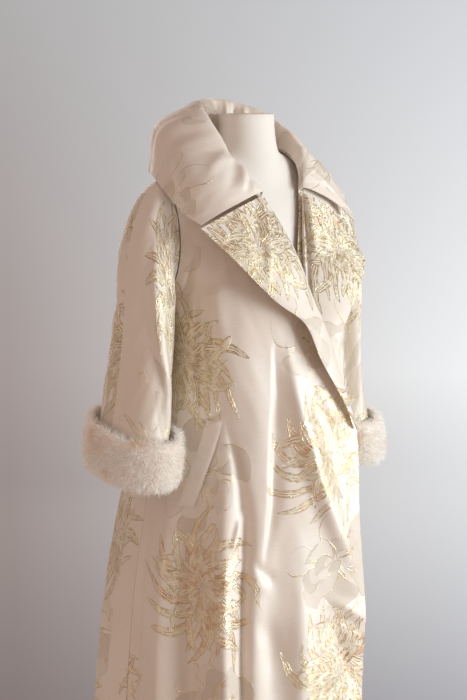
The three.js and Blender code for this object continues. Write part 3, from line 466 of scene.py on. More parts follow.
def fold_height(folds: Sequence[Fold], u: Array, z: Array, width: Array) -> Array:
    """Height of the long folds at places of a panel.

    Args:
        folds: The panel's folds.
        u: Place across the panel.
        z: Height above the floor.
        width: Length across the panel for one unit of u.

    Returns:
        How far the cloth stands out there.
    """
    total = np.zeros(np.broadcast(u, z).shape)
    for fold in folds:
        fall = np.clip((fold.start - z) / (fold.start - HEM_Z), 0, None)
        grow = mix(0.7, 1.25, fall)
        away = (u - mix(fold.top, fold.hem, fall)) * width / (fold.width * grow)
        total += fold.depth * ramp(fall * 1.6) * grow * np.exp(-away * away)
    return total


def crease_height(creases: Sequence[Crease], across: Array, along: Array, scale: Array) -> Array:
    """Height of the listed creases.

    Args:
        creases: The creases of one piece.
        across: Place across the piece, in the units of the creases' paths.
        along: Place along the piece, in the same units.
        scale: Millimetres for one unit across; one unit along is one millimetre.

    Returns:
        How far the cloth stands out there.
    """
    total = np.zeros(across.shape)
    for crease in creases:
        path = np.array(crease.path, float)
        marks = np.linspace(0, len(path) - 1, 8 * (len(path) - 1) + 1)
        line = np.stack([smooth_line(path[:, k], marks) for k in (0, 1)], -1)
        best = np.full(across.shape, 1e9)
        signed = np.zeros(across.shape)
        share = np.zeros(across.shape)
        for k in range(len(line) - 1):
            ax, ay = line[k]
            bx, by = line[k + 1]
            ex, ey = (bx - ax) * scale, by - ay
            px, py = (across - ax) * scale, along - ay
            t = np.clip((px * ex + py * ey) / (ex * ex + ey * ey + 1e-9), 0, 1)
            dx, dy = px - t * ex, py - t * ey
            distance = np.hypot(dx, dy)
            closer = distance < best
            best = np.where(closer, distance, best)
            signed = np.where(closer, np.sign(ex * py - ey * px), signed)
            share = np.where(closer, (k + t) / (len(line) - 1), share)
        wide = crease.width * np.where(signed > 0, crease.far_side, 1) * mix(0.6, 1, np.sin(math.pi * share))
        strength = np.sin(math.pi * np.clip(share, 0.02, 0.98)) ** 0.7
        total += crease.depth * strength * np.exp(-(best / wide) ** 2)
    return total


def smooth_line(values: Array, marks: Array) -> Array:
    """Values of a smooth line through equally spaced ones, read at the marks."""
    if len(values) < 3:
        return np.interp(marks, np.arange(len(values)), values)
    rows = [(k, value) for k, value in enumerate(values)]
    return Table("at value", rows).read("value", marks)


def ripple(x: Array, y: Array, seed: int, size: float) -> Array:
    """Gentle unevenness of cloth, as a sum of a few crossed waves.

    Args:
        x: First place on the piece, in millimetres.
        y: Second place on the piece, in millimetres.
        seed: Which set of waves.
        size: Length of the longest wave, in millimetres.

    Returns:
        Heights from about -1 to 1.
    """
    random = np.random.default_rng(seed)
    total = np.zeros(np.broadcast(x, y).shape)
    for k in range(7):
        turn = random.uniform(0, math.pi)
        length = size * random.uniform(0.35, 1.0)
        phase = random.uniform(0, 2 * math.pi)
        bend = random.uniform(0.2, 0.6) * np.sin(2 * math.pi * y / (size * 1.7) + phase)
        total += np.sin(2 * math.pi * (x * math.cos(turn) + y * math.sin(turn)) / length + phase + bend)
    return total / 4


class Wires:
    """Adds nodes to one tree and links them, so that a material or shape reads as a sum."""

    def __init__(self, tree: bpy.types.NodeTree) -> None:
        """Keep the tree that the nodes go into."""
        self.tree = tree

    def node(self, kind: str, values: dict[Any, Any] | None = None, **settings: Any) -> bpy.types.Node:
        """Add one node.

        Args:
            kind: The node's type name.
            values: Inputs by name or number; an output socket is linked, a value is set.
            settings: The node's own properties.

        Returns:
            The new node.
        """
        made = self.tree.nodes.new(kind)
        for name, value in settings.items():
            setattr(made, name, value)
        for name, value in (values or {}).items():
            self.put(made.inputs[name], value)
        return made

    def put(self, socket: bpy.types.NodeSocket, value: Any) -> None:
        """Link an output to a socket, or set the socket's own value."""
        if isinstance(value, bpy.types.NodeSocket):
            self.tree.links.new(value, socket)
        else:
            socket.default_value = value

    def math(self, kind: str, *values: Any, clamp: bool = False) -> bpy.types.NodeSocket:
        """One sum of numbers."""
        made = self.node("ShaderNodeMath", dict(enumerate(values)), operation=kind, use_clamp=clamp)
        return made.outputs[0]

    def vector(self, kind: str, *values: Any) -> bpy.types.NodeSocket:
        """One sum of vectors."""
        made = self.node("ShaderNodeVectorMath", dict(enumerate(values)), operation=kind)
        return made.outputs["Value" if kind == "LENGTH" else "Vector"]

    def blend(self, share: Any, low: Any, high: Any) -> bpy.types.NodeSocket:
        """Number a share of the way from low to high."""
        return self.node("ShaderNodeMix", {0: share, 2: low, 3: high}).outputs[0]

    def tint(self, share: Any, low: Any, high: Any) -> bpy.types.NodeSocket:
        """Colour a share of the way from low to high."""
        made = self.node("ShaderNodeMix", {0: share, 6: low, 7: high}, data_type="RGBA")
        return made.outputs[2]

    def noise(self, place: Any, scale: float, detail: float = 2.0, rough: float = 0.5) -> bpy.types.Node:
        """Soft noise at a place."""
        values = {"Vector": place, "Scale": scale, "Detail": detail, "Roughness": rough}
        return self.node("ShaderNodeTexNoise", values)

    def span(self, value: Any, low: float, high: float, to_low: float = 0.0, to_high: float = 1.0) -> Any:
        """Value brought from one range to another and held there."""
        values = {0: value, 1: low, 2: high, 3: to_low, 4: to_high}
        return self.node("ShaderNodeMapRange", values).outputs[0]


Colour = tuple[float, float, float, float]


def shade(red: float, green: float, blue: float) -> Colour:
    """Opaque colour from three parts."""
    return (red, green, blue, 1.0)


def ring_of_petals() -> bpy.types.NodeTree:
    """Shader group that draws one ring of curling, pointed petals round a flower's middle.

    Returns:
        The group. Its Mask is the whole petal, Line its outline, Thread its woven strokes and
        Tone one random number for each petal.
    """
    tree = bpy.data.node_groups.new("petal_ring", "ShaderNodeTree")
    for name in ("Radius", "Angle", "Count", "Start", "End", "Curl", "Seed", "Point", "Size", "Outline"):
        tree.interface.new_socket(name, in_out="INPUT", socket_type="NodeSocketFloat")
    for name in ("Mask", "Line", "Thread", "Tone"):
        tree.interface.new_socket(name, in_out="OUTPUT", socket_type="NodeSocketFloat")
    w = Wires(tree)
    take = w.node("NodeGroupInput").outputs
    radius = take["Radius"]
    turned = w.math("MULTIPLY_ADD", take["Curl"], radius, take["Angle"])
    turns = w.math("DIVIDE", w.math("MULTIPLY", turned, take["Count"]), 2 * math.pi)
    turns = w.math("MULTIPLY_ADD", take["Seed"], 0.37, turns)
    petal = w.math("FLOOR", w.math("ADD", turns, 0.5))
    around = w.math("SUBTRACT", turns, petal)
    which = w.math("WRAP", petal, take["Count"], 0.0)
    which = w.math("MULTIPLY_ADD", take["Seed"], 7.13, which)
    chance = w.node("ShaderNodeTexWhiteNoise", {"W": which}, noise_dimensions="1D")
    parts = w.node("ShaderNodeSeparateColor", {0: chance.outputs["Color"]}).outputs
    reach = w.math("MULTIPLY", take["End"], w.math("MULTIPLY_ADD", parts[0], 0.42, 0.7))
    along = w.math("DIVIDE", w.math("SUBTRACT", radius, take["Start"]),
        w.math("SUBTRACT", reach, take["Start"]))
    along = w.math("MINIMUM", w.math("MAXIMUM", along, 0.0), 1.0)
    sway = w.math("MULTIPLY", w.math("SUBTRACT", parts[1], 0.5), w.math("MULTIPLY", along, along))
    across = w.math("ABSOLUTE", w.math("MULTIPLY_ADD", sway, 0.75, around))
    taper = w.math("POWER", w.math("SUBTRACT", 1.0, along), take["Point"])
    width = w.math("MULTIPLY", w.math("POWER", along, 0.3), taper)
    width = w.math("MULTIPLY", width, 0.56)
    arc = w.math("MULTIPLY", w.math("DIVIDE", w.math("MULTIPLY", radius, 2 * math.pi), take["Count"]),
        take["Size"])
    inside = w.math("MULTIPLY", w.math("SUBTRACT", width, across), arc)
    mask = w.span(inside, 0.0, 0.0006)
    line = w.math("MULTIPLY", mask, w.span(w.math("SUBTRACT", inside, take["Outline"]), 0.0, 0.0007, 1.0,
        0.0))
    share = w.math("DIVIDE", across, w.math("MAXIMUM", width, 0.02))
    strokes = w.math("COSINE", w.math("MULTIPLY", share, 2 * math.pi * 1.75))
    level = w.math("MULTIPLY_ADD", along, 1.5, w.math("MULTIPLY_ADD", parts[2], 0.8, -1.35))
    thread = w.math("MULTIPLY", w.span(w.math("SUBTRACT", strokes, level), 0.0, 0.35),
        w.span(inside, 0.0016, 0.0024))
    give = w.node("NodeGroupOutput")
    for name, value in (("Mask", mask), ("Line", line), ("Thread", thread), ("Tone", parts[2])):
        w.put(give.inputs[name], value)
    return tree


@dataclass(frozen=True)
class Petals:
    """One ring of a flower: how many petals, where they start and end, their curl and point."""

    count: int
    start: float
    end: float
    curl: float
    point: float = 0.8


@dataclass(frozen=True)
class Flower:
    """A woven flower of several rings, the outer one first."""

    size: float
    rings: tuple[Petals, ...]
    outline: float
    tall: float = 1.0
    ragged: float = 0.3

    def draw(self, w: Wires, ring: bpy.types.NodeTree, place: Any, seed: Any) -> dict[str, Any]:
        """Wire the flower up.

        Args:
            w: The material's nodes.
            ring: The petal group.
            place: Place on the cloth from the flower's middle, in metres.
            seed: A random number for this one flower.

        Returns:
            Mask, Line, Thread and Tone of the whole flower.
        """
        shifted = w.vector("ADD", place, w.node("ShaderNodeCombineXYZ", {2: seed}).outputs[0])
        coarse = w.vector("SUBTRACT", w.noise(shifted, 9.0, 1.0).outputs["Color"], (0.5, 0.5, 0.5))
        fine = w.vector("SUBTRACT", w.noise(shifted, 45.0, 2.0).outputs["Color"], (0.5, 0.5, 0.5))
        bent = w.vector("MULTIPLY_ADD", coarse, (self.ragged * self.size,) * 3, place)
        bent = w.vector("MULTIPLY_ADD", fine, (self.ragged * 0.16 * self.size,) * 3, bent)
        parts = w.node("ShaderNodeSeparateXYZ", {0: bent}).outputs
        down = w.math("DIVIDE", parts[1], self.tall)
        flat = w.node("ShaderNodeCombineXYZ", {0: parts[0], 1: down}).outputs[0]
        radius = w.math("DIVIDE", w.vector("LENGTH", flat), self.size)
        angle = w.math("ARCTAN2", down, parts[0])
        whole: dict[str, Any] = {}
        for k, petals in enumerate(self.rings):
            values = {
                "Radius": radius, "Angle": angle, "Count": float(petals.count), "Start": petals.start,
                "End": petals.end, "Curl": petals.curl, "Seed": w.math("MULTIPLY_ADD", seed, 3.7, k * 1.9),
                "Point": petals.point, "Size": self.size, "Outline": self.outline,
            }
            drawn = w.node("ShaderNodeGroup", node_tree=ring)
            for name, value in values.items():
                w.put(drawn.inputs[name], value)
            out = {name: drawn.outputs[name] for name in ("Mask", "Line", "Thread", "Tone")}
            if whole:
                for name in ("Line", "Thread", "Tone"):
                    out[name] = w.blend(out["Mask"], whole[name], out[name])
                out["Mask"] = w.math("MAXIMUM", whole["Mask"], out["Mask"])
            whole = out
        return whole


class Repeat(Enum):
    """Where the half-drop repeat of the cloth puts a kind of flower."""

    GOLD = 0.0
    ROSE = 0.5


@dataclass(frozen=True)
class Brocade:
    """Ivory satin with gold chrysanthemums and self-coloured roses woven in."""

    name: str = "satin_brocade"
    across: float = 0.27
    down: float = 0.40
    gold: bool = True
    ivory: Colour = shade(0.86, 0.79, 0.72)
    satin: Colour = shade(0.80, 0.69, 0.60)
    thread: Colour = shade(0.92, 0.70, 0.34)
    copper: Colour = shade(0.80, 0.46, 0.25)
    glint: Colour = shade(0.98, 0.88, 0.62)
    float_silk: Colour = shade(0.90, 0.81, 0.62)
    dark_reflection_olive: Colour = shade(0.44, 0.36, 0.20)
    accent: tuple[float, float] = (0.40, 0.50)
    mum: Flower = Flower(0.122, (
        Petals(17, 0.26, 1.05, 0.9, 0.7), Petals(14, 0.18, 0.90, -0.9, 0.65), Petals(12, 0.1, 0.70, 1.1, 0.6),
        Petals(9, 0.05, 0.48, -1.0, 0.5), Petals(6, 0.0, 0.28, 1.3, 0.4),
    ), 0.0012, 1.15, 0.34)
    rose: Flower = Flower(0.094, (
        Petals(6, 0.1, 1.15, 0.3, 0.24), Petals(5, 0.05, 0.86, -0.4, 0.22), Petals(5, 0.03, 0.62, 0.5, 0.22),
        Petals(4, 0.02, 0.42, -0.6, 0.25), Petals(3, 0.0, 0.24, 1.4, 0.3),
    ), 0.0016, 1.0, 0.42)

    def place(self, w: Wires, cloth: Any, repeat: Repeat) -> tuple[Any, Any]:
        """Place within one cell of the half-drop repeat, and a random number for the cell."""
        parts = w.node("ShaderNodeSeparateXYZ", {0: cloth}).outputs
        column = w.math("FLOOR", w.math("DIVIDE", parts[0], self.across))
        drop = w.math("MULTIPLY", w.math("WRAP", column, 2.0, 0.0), 0.5)
        rows = w.math("ADD", w.math("DIVIDE", parts[1], self.down), w.math("ADD", drop, repeat.value))
        row = w.math("FLOOR", rows)
        x = w.math("SUBTRACT", parts[0], w.math("MULTIPLY", w.math("ADD", column, 0.5), self.across))
        y = w.math("MULTIPLY", w.math("SUBTRACT", w.math("SUBTRACT", rows, row), 0.5), self.down)
        seed = w.node("ShaderNodeTexWhiteNoise", {
            "Vector": w.node("ShaderNodeCombineXYZ", {0: column, 1: row, 2: repeat.value}).outputs[0],
        }).outputs["Value"]
        return w.node("ShaderNodeCombineXYZ", {0: x, 1: y}).outputs[0], seed

    def material(self) -> bpy.types.Material:
        """Build the cloth's material.

        Returns:
            The material, which reads the piece's own UV map in metres of cloth.
        """
        made = bpy.data.materials.new(self.name)
        made.use_nodes = True
        tree = made.node_tree
        tree.nodes.clear()
        w = Wires(tree)
        cloth = w.node("ShaderNodeUVMap", uv_map="cloth").outputs[0]
        ring = bpy.data.node_groups.get("petal_ring") or ring_of_petals()
        rose_place, rose_seed = self.place(w, cloth, Repeat.ROSE)
        rose = self.rose.draw(w, ring, rose_place, rose_seed)
        wide = w.noise(cloth, 3.1, 2.0).outputs[0]
        blotch = w.noise(cloth, 14.0, 3.0).outputs[0]
        grain = w.node("ShaderNodeMapping", {"Vector": cloth, "Scale": (30.0, 620.0, 1.0)}).outputs[0]
        slub = w.noise(grain, 1.0, 2.0, 0.7).outputs[0]
        colour = w.tint(w.span(wide, 0.3, 0.7), self.ivory, self.satin)
        colour = w.tint(w.span(blotch, 0.35, 0.75, 0.0, 0.16), colour, shade(0.72, 0.60, 0.50))
        colour = w.tint(w.span(slub, 0.35, 0.8, 0.0, 0.24), colour, shade(0.60, 0.50, 0.43))
        petal_tone = w.math("MULTIPLY", rose["Mask"], w.span(rose["Tone"], 0.3, 0.7, 0.15, 1.0))
        colour = w.tint(w.math("MULTIPLY", petal_tone, 0.55), colour, shade(0.56, 0.47, 0.37))
        rough = w.math("MULTIPLY_ADD", petal_tone, 0.12, 0.38)
        accents = w.span(w.noise(cloth, 16.0, 1.0).outputs[0], *self.accent)
        fine_gold = w.math("MULTIPLY", rose["Line"], accents)
        colour = w.tint(w.math("MULTIPLY", rose["Line"], 0.5), colour, shade(0.50, 0.40, 0.29))
        relief = w.math("MULTIPLY", rose["Line"], -0.3)
        gold = w.math("MULTIPLY", fine_gold, 0.9)
        # Share of the thread given a painted dark reflection, one value for each flower.
        dark_reflection_share = rose_seed
        if self.gold:
            mum_place, mum_seed = self.place(w, cloth, Repeat.GOLD)
            mum = self.mum.draw(w, ring, mum_place, mum_seed)
            worn = w.span(w.noise(cloth, 90.0, 2.0, 0.6).outputs[0], 0.34, 0.54, 0.35, 1.0)
            woven = w.math("MULTIPLY", w.math("MAXIMUM", mum["Line"], mum["Thread"]), worn)
            colour = w.tint(w.math("MULTIPLY", mum["Mask"], 0.55), colour, self.float_silk)
            gold = w.math("MAXIMUM", gold, woven)
            dark_reflection_share = w.span(mum_seed, 0.56, 0.62)
            relief = w.math("ADD", relief, w.math("MULTIPLY", mum["Mask"], 0.35))
        speck = w.noise(cloth, 420.0, 2.0, 0.7).outputs[0]
        lit = w.noise(cloth, 34.0, 2.0, 0.6).outputs[0]
        metal = w.tint(w.span(w.noise(cloth, 6.0, 1.0).outputs[0], 0.43, 0.57), self.thread, self.copper)
        # Painted glints: noise patches of pale gold stand in for light catching the thread.
        metal = w.tint(w.span(lit, 0.42, 0.58), metal, self.glint)
        # Painted dark reflection: that share of the gold thread is darkened to olive, as gold looks where it
        # mirrors a dark part of the room.
        metal = w.tint(w.math("MULTIPLY", dark_reflection_share, 0.5), metal, self.dark_reflection_olive)
        metal = w.tint(w.span(speck, 0.38, 0.62), w.tint(0.4, metal, shade(0.34, 0.21, 0.09)), metal)
        colour = w.tint(gold, colour, metal)
        rough = w.blend(gold, rough, w.span(speck, 0.3, 0.7, 0.34, 0.18))
        relief = w.math("ADD", relief, w.math("MULTIPLY", gold, w.math("MULTIPLY_ADD", speck, 0.8, 0.5)))
        relief = w.math("MULTIPLY_ADD", slub, 0.30, relief)
        weave = w.node("ShaderNodeTexWave", {"Vector": cloth, "Scale": 420.0, "Distortion": 0.4},
            bands_direction="Y")
        relief = w.math("MULTIPLY_ADD", weave.outputs[1], 0.05, relief)
        bump = w.node("ShaderNodeBump", {"Strength": 0.85, "Distance": 0.0009, "Height": relief})
        surface = w.node("ShaderNodeBsdfPrincipled", {
            "Base Color": colour, "Roughness": rough, "Metallic": w.math("MULTIPLY", gold, 0.95),
            "Normal": bump.outputs[0], "Sheen Weight": 0.3, "Sheen Roughness": 0.4,
            "Specular IOR Level": 0.55,
        })
        w.node("ShaderNodeOutputMaterial", {0: surface.outputs[0]})
        return made


@dataclass(frozen=True)
class PlainFinish:
    """A plain surface with fine grain, for the form's cover, the stand and the fur's roots."""

    name: str
    colour: Colour
    second: Colour
    rough: float
    grain: float
    depth: float
    metal: float = 0.0
    sheen: float = 0.0

    def material(self) -> bpy.types.Material:
        """Build the material on Object coordinates."""
        made = bpy.data.materials.new(self.name)
        made.use_nodes = True
        made.node_tree.nodes.clear()
        w = Wires(made.node_tree)
        place = w.node("ShaderNodeTexCoord").outputs["Object"]
        broad = w.noise(place, 6.0, 3.0).outputs[0]
        fine = w.noise(place, self.grain, 3.0, 0.65).outputs[0]
        colour = w.tint(w.span(broad, 0.35, 0.7), self.colour, self.second)
        colour = w.tint(w.span(fine, 0.3, 0.8, 0.0, 0.2), colour, self.second)
        bump = w.node("ShaderNodeBump", {"Strength": 0.4, "Distance": self.depth, "Height": fine})
        surface = w.node("ShaderNodeBsdfPrincipled", {
            "Base Color": colour, "Roughness": w.span(broad, 0.3, 0.7, self.rough - 0.05, self.rough + 0.05),
            "Normal": bump.outputs[0], "Metallic": self.metal, "Sheen Weight": self.sheen,
        })
        w.node("ShaderNodeOutputMaterial", {0: surface.outputs[0]})
        return made


@dataclass(frozen=True)
class FurFinish:
    """Cream fur, pinker at the roots, with a few tan streaks."""

    name: str = "cream_fur"
    root: Colour = shade(0.95, 0.85, 0.77)
    tip: Colour = shade(0.99, 0.97, 0.94)
    streak: Colour = shade(0.86, 0.62, 0.42)

    def material(self) -> bpy.types.Material:
        """Build the material, which reads how far each point is along its hair."""
        made = bpy.data.materials.new(self.name)
        made.use_nodes = True
        made.node_tree.nodes.clear()
        w = Wires(made.node_tree)
        along = w.node("ShaderNodeAttribute", attribute_name="hair_along").outputs["Fac"]
        place = w.node("ShaderNodeTexCoord").outputs["Object"]
        patch = w.noise(place, 24.0, 2.0).outputs[0]
        colour = w.tint(w.span(along, 0.0, 0.55), self.root, self.tip)
        colour = w.tint(w.span(patch, 0.60, 0.72, 0.0, 0.55), colour, self.streak)
        surface = w.node("ShaderNodeBsdfPrincipled", {
            "Base Color": colour, "Roughness": 0.6, "Sheen Weight": 0.3, "Sheen Roughness": 0.4,
            "Specular IOR Level": 0.35,
        })
        glow = w.node("ShaderNodeBsdfTranslucent", {"Color": colour})
        both = w.node("ShaderNodeMixShader", {0: 0.35, 1: surface.outputs[0], 2: glow.outputs[0]})
        w.node("ShaderNodeOutputMaterial", {0: both.outputs[0]})
        return made


@dataclass
class Finishes:
    """Every material of the part, built once."""

    brocade: bpy.types.Material = field(default_factory=lambda: Brocade().material())
    collar: bpy.types.Material = field(default_factory=lambda: Brocade(
        "collar_brocade", across=0.21, down=0.25, gold=False, accent=(0.28, 0.40),
        thread=shade(0.80, 0.70, 0.46), copper=shade(0.76, 0.62, 0.40)).material())
    fur: bpy.types.Material = field(default_factory=lambda: FurFinish().material())
    fur_root: bpy.types.Material = field(default_factory=lambda: PlainFinish(
        "fur_roots", shade(0.95, 0.87, 0.80), shade(0.88, 0.77, 0.68), 0.8, 220.0, 0.002,
        sheen=0.4).material())
    cover: bpy.types.Material = field(default_factory=lambda: PlainFinish(
        "form_cotton", shade(0.80, 0.74, 0.68), shade(0.74, 0.68, 0.62), 0.75, 900.0, 0.0003,
        sheen=0.2).material())
    stand: bpy.types.Material = field(default_factory=lambda: PlainFinish(
        "stand_paint", shade(0.74, 0.71, 0.68), shade(0.68, 0.65, 0.62), 0.42, 500.0, 0.0001,
        metal=0.1).material())


def mesh_object(name: str, points: Array, faces: Array, material: bpy.types.Material,
                uvs: Array | None = None) -> bpy.types.Object:
    """Make an object from points in millimetres.

    Args:
        name: Name of the piece.
        points: Points, three numbers each.
        faces: Corners of each four-sided face.
        material: Its finish.
        uvs: Places on the cloth in metres, one for each corner of each face.

    Returns:
        The object, at the origin, with its place in its mesh.
    """
    mesh = bpy.data.meshes.new(name)
    mesh.from_pydata((points / 1000).tolist(), [], faces.tolist())
    if uvs is not None:
        layer = mesh.uv_layers.new(name="cloth")
        layer.data.foreach_set("uv", np.ascontiguousarray(uvs.reshape(-1), dtype=np.float32))
    mesh.materials.append(material)
    mesh.polygons.foreach_set("use_smooth", [True] * len(mesh.polygons))
    mesh.set_sharp_from_angle(angle=math.radians(55))
    mesh.update()
    made = bpy.data.objects.new(name, mesh)
    bpy.context.scene.collection.objects.link(made)
    return made


def signed_volume(points: Array, faces: Array) -> float:
    """Volume inside the faces, below zero where they face inwards."""
    a, b, c, d = (points[faces[:, k]] for k in range(4))
    return float(np.sum(a * np.cross(b, c)) + np.sum(a * np.cross(c, d)))


def wall_faces(rows: int, columns: int, closed: bool) -> Array:
    """Faces of a wall between two grids of points, with its rims.

    Args:
        rows: Rows of points.
        columns: Columns of points.
        closed: Whether the last column of points is the first one again.

    Returns:
        Corners of each face; the second grid's points follow the first's.
    """
    layer = rows * columns
    j, i = np.meshgrid(np.arange(rows - 1), np.arange(columns - 1), indexing="ij")
    a = (j * columns + i).ravel()
    faces = [np.stack([a, a + 1, a + columns + 1, a + columns], -1)]
    faces.append(np.stack([a, a + columns, a + columns + 1, a + 1], -1) + layer)
    i = np.arange(columns - 1)
    low = (rows - 1) * columns
    faces.append(np.stack([i + 1, i, i + layer, i + 1 + layer], -1))
    faces.append(np.stack([i + low, i + 1 + low, i + 1 + low + layer, i + low + layer], -1))
    if not closed:
        j = np.arange(rows - 1) * columns
        end = columns - 1
        faces.append(np.stack([j, j + columns, j + columns + layer, j + layer], -1))
        faces.append(np.stack([j + columns + end, j + end, j + end + layer, j + columns + end + layer], -1))
    return np.concatenate(faces)


@dataclass
class ClothPiece:
    """One cut piece of cloth, as a thin wall on a grid of points."""

    name: str
    material: bpy.types.Material
    columns: int
    rows: int
    outward: int
    held: str
    rests_on: tuple[str, ...]
    flat: tuple[float, float]
    flat_area: float
    creases: tuple[Crease, ...] = ()
    pattern: tuple[float, float] = (0.0, 0.0)
    closed: bool = False
    thickness: float = 1.7

    def skin(self) -> Array:
        """Points of the outer face, rows by columns; each kind of piece gives its own."""
        raise NotImplementedError

    def cloth_places(self, points: Array) -> Array:
        """Places on the cut cloth, in metres, from lengths measured along the grid."""
        step_x = np.linalg.norm(np.diff(points, axis=1), axis=-1)
        step_y = np.linalg.norm(np.diff(points, axis=0), axis=-1)
        x = np.concatenate([np.zeros((len(points), 1)), np.cumsum(step_x, 1)], 1)
        y = np.concatenate([np.zeros((1, points.shape[1])), np.cumsum(step_y, 0)], 0)
        return np.stack([x / 1000 + self.pattern[0], y / 1000 + self.pattern[1]], -1)

    def inner(self, outer: Array) -> Array:
        """Points of the inner face, a thickness behind the outer one."""
        return outer - self.outward * self.thickness * grid_normals(outer, self.closed)

    def build(self) -> bpy.types.Object:
        """Returns:
            The finished piece.
        """
        outer = self.skin()
        inner = self.inner(outer)
        rows, columns = outer.shape[:2]
        points = np.concatenate([outer.reshape(-1, 3), inner.reshape(-1, 3)])
        faces = wall_faces(rows, columns, self.closed)
        if signed_volume(points, faces) < 0:
            faces = faces[:, ::-1]
        places = self.cloth_places(outer).reshape(-1, 2)
        corners = np.concatenate([places, places])[faces]
        if self.closed:
            grid = np.arange(len(points)).reshape(2, rows, columns)
            grid[:, :, -1] = grid[:, :, 0]
            faces = grid.reshape(-1)[faces]
        made = mesh_object(self.name, points, faces, self.material, corners)
        if self.closed:
            tidy_loose(made)
        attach(made, "root")
        across = np.linalg.norm(np.diff(outer, axis=1), axis=-1).sum(1) / 1000
        down = np.linalg.norm(np.diff(outer, axis=0), axis=-1).sum(0) / 1000
        LOG.info("%s: %d faces, across %.3f to %.3f m, down %.3f to %.3f m, %.4f square metres", self.name,
                 len(faces), across.min(), across.max(), down.min(), down.max(), grid_area(outer))
        return made


def grid_area(points: Array) -> float:
    """Area of a grid of points in millimetres, in square metres."""
    a, b, c, d = points[:-1, :-1], points[:-1, 1:], points[1:, 1:], points[1:, :-1]
    return float(np.linalg.norm(np.cross(c - a, d - b), axis=-1).sum() / 2e6)


def tidy_loose(made: bpy.types.Object) -> None:
    """Drop points that no face uses."""
    mesh = made.data
    used = np.zeros(len(mesh.vertices), bool)
    corners = np.empty(len(mesh.loops), np.int32)
    mesh.loops.foreach_get("vertex_index", corners)
    used[corners] = True
    if used.all():
        return
    work = bmesh.new()
    work.from_mesh(mesh)
    bmesh.ops.delete(work, geom=[v for v in work.verts if not v.link_faces], context="VERTS")
    work.to_mesh(mesh)
    work.free()


@dataclass
class FrontPanel(ClothPiece):
    """One front of the coat, from the shoulder to the hem."""

    table: Table = RIGHT_EDGE
    side: int = -1
    folds: tuple[Fold, ...] = ()
    seed: int = 1

    def skin_at(self, u: Array, v: Array) -> tuple[Array, Array]:
        """Points of the outer face and their outward directions.

        Args:
            u: Places from the front edge to the side.
            v: Places from the shoulder to the hem.

        Returns:
            The points, with folds and creases, and the directions of the smooth panel.
        """
        step = 0.004
        base = front_point(self.table, self.side, u, v)
        lower = np.minimum(v, 1 - step)
        at_u = np.minimum(u, 1 - step)
        du = front_point(self.table, self.side, at_u + step, v) - front_point(self.table, self.side, at_u, v)
        dv = (front_point(self.table, self.side, u, lower + step)
              - front_point(self.table, self.side, u, lower))
        normal = np.cross(du, dv) * self.outward
        on_seam = (u > 0.999) | (v < 0.001)
        normal[..., 1] = np.where(on_seam, 0, normal[..., 1])
        normal = unit(normal)
        z = base[..., 2]
        width = BODY.read("right", z) * FRONT_SPREAD
        height = fold_height(self.folds, u, z, width)
        height += 1.4 * crease_height(self.creases, u, z, width) * ramp((1 - u) / 0.04)
        fade = ramp((1 - u) / 0.1) * ramp(v / 0.1)
        height += (0.8 * ripple(u * width, z, self.seed, 160)
                   + 0.32 * ripple(u * width, z, self.seed + 40, 62)) * fade
        return base + normal * height[..., None], normal

    def skin(self) -> Array:
        """Points of the outer face on the panel's grid."""
        t = np.linspace(0, 1, self.rows)
        u, v = np.meshgrid(np.linspace(0, 1, self.columns), mix(t, t * t, 0.45))
        return self.skin_at(u, v)[0]

    def cloth_places(self, points: Array) -> Array:
        """Places on the cut cloth, with the straight grain down the centre front."""
        places = super().cloth_places(points)
        places[..., 0] += self.side * points[:, :1, 0] / 1000
        places[..., 1] += (NECK_SIDE[2] - points[:1, :, 2]) / 1000
        return places

    def row_at(self, u: Array, z: Array) -> Array:
        """Place down the panel that lies at a height."""
        low = np.full(np.shape(u), UNDERARM_V)
        high = np.ones(np.shape(u))
        for _ in range(30):
            middle = (low + high) / 2
            above = front_point(self.table, self.side, u, middle)[..., 2] > z
            low = np.where(above, middle, low)
            high = np.where(above, high, middle)
        return low


@dataclass
class BackPanel(ClothPiece):
    """The whole back, from side seam to side seam."""

    folds: tuple[Fold, ...] = BACK_FOLDS

    def skin(self) -> Array:
        """Points of the outer face on the panel's grid."""
        t = np.linspace(0, 1, self.rows)
        u, v = np.meshgrid(np.linspace(-1, 1, self.columns), mix(t, t * t, 0.45))
        base = back_point(u, v)
        normal = grid_normals(base)
        on_seam = (np.abs(u) > 0.999) | (v < 0.001)
        normal[..., 1] = np.where(on_seam, 0, normal[..., 1])
        z = base[..., 2]
        width = BODY.read("right", z) * BACK_SPREAD
        fade = ramp((1 - np.abs(u)) / 0.08)
        height = fold_height(self.folds, u, z, width) + crease_height(self.creases, u, z, width) * fade
        wave = 0.8 * ripple(u * width, z, 5, 170) + 0.32 * ripple(u * width, z, 45, 62)
        height += wave * fade * ramp(v / 0.1)
        return base + unit(normal) * height[..., None]

    def cloth_places(self, points: Array) -> Array:
        """Places on the cut cloth, measured from the centre back."""
        places = super().cloth_places(points)
        middle = places[:, self.columns // 2 : self.columns // 2 + 1, 0]
        places[..., 0] -= middle - self.pattern[0]
        places[..., 1] += (NECK_SIDE[2] - points[:1, :, 2]) / 1000
        return places


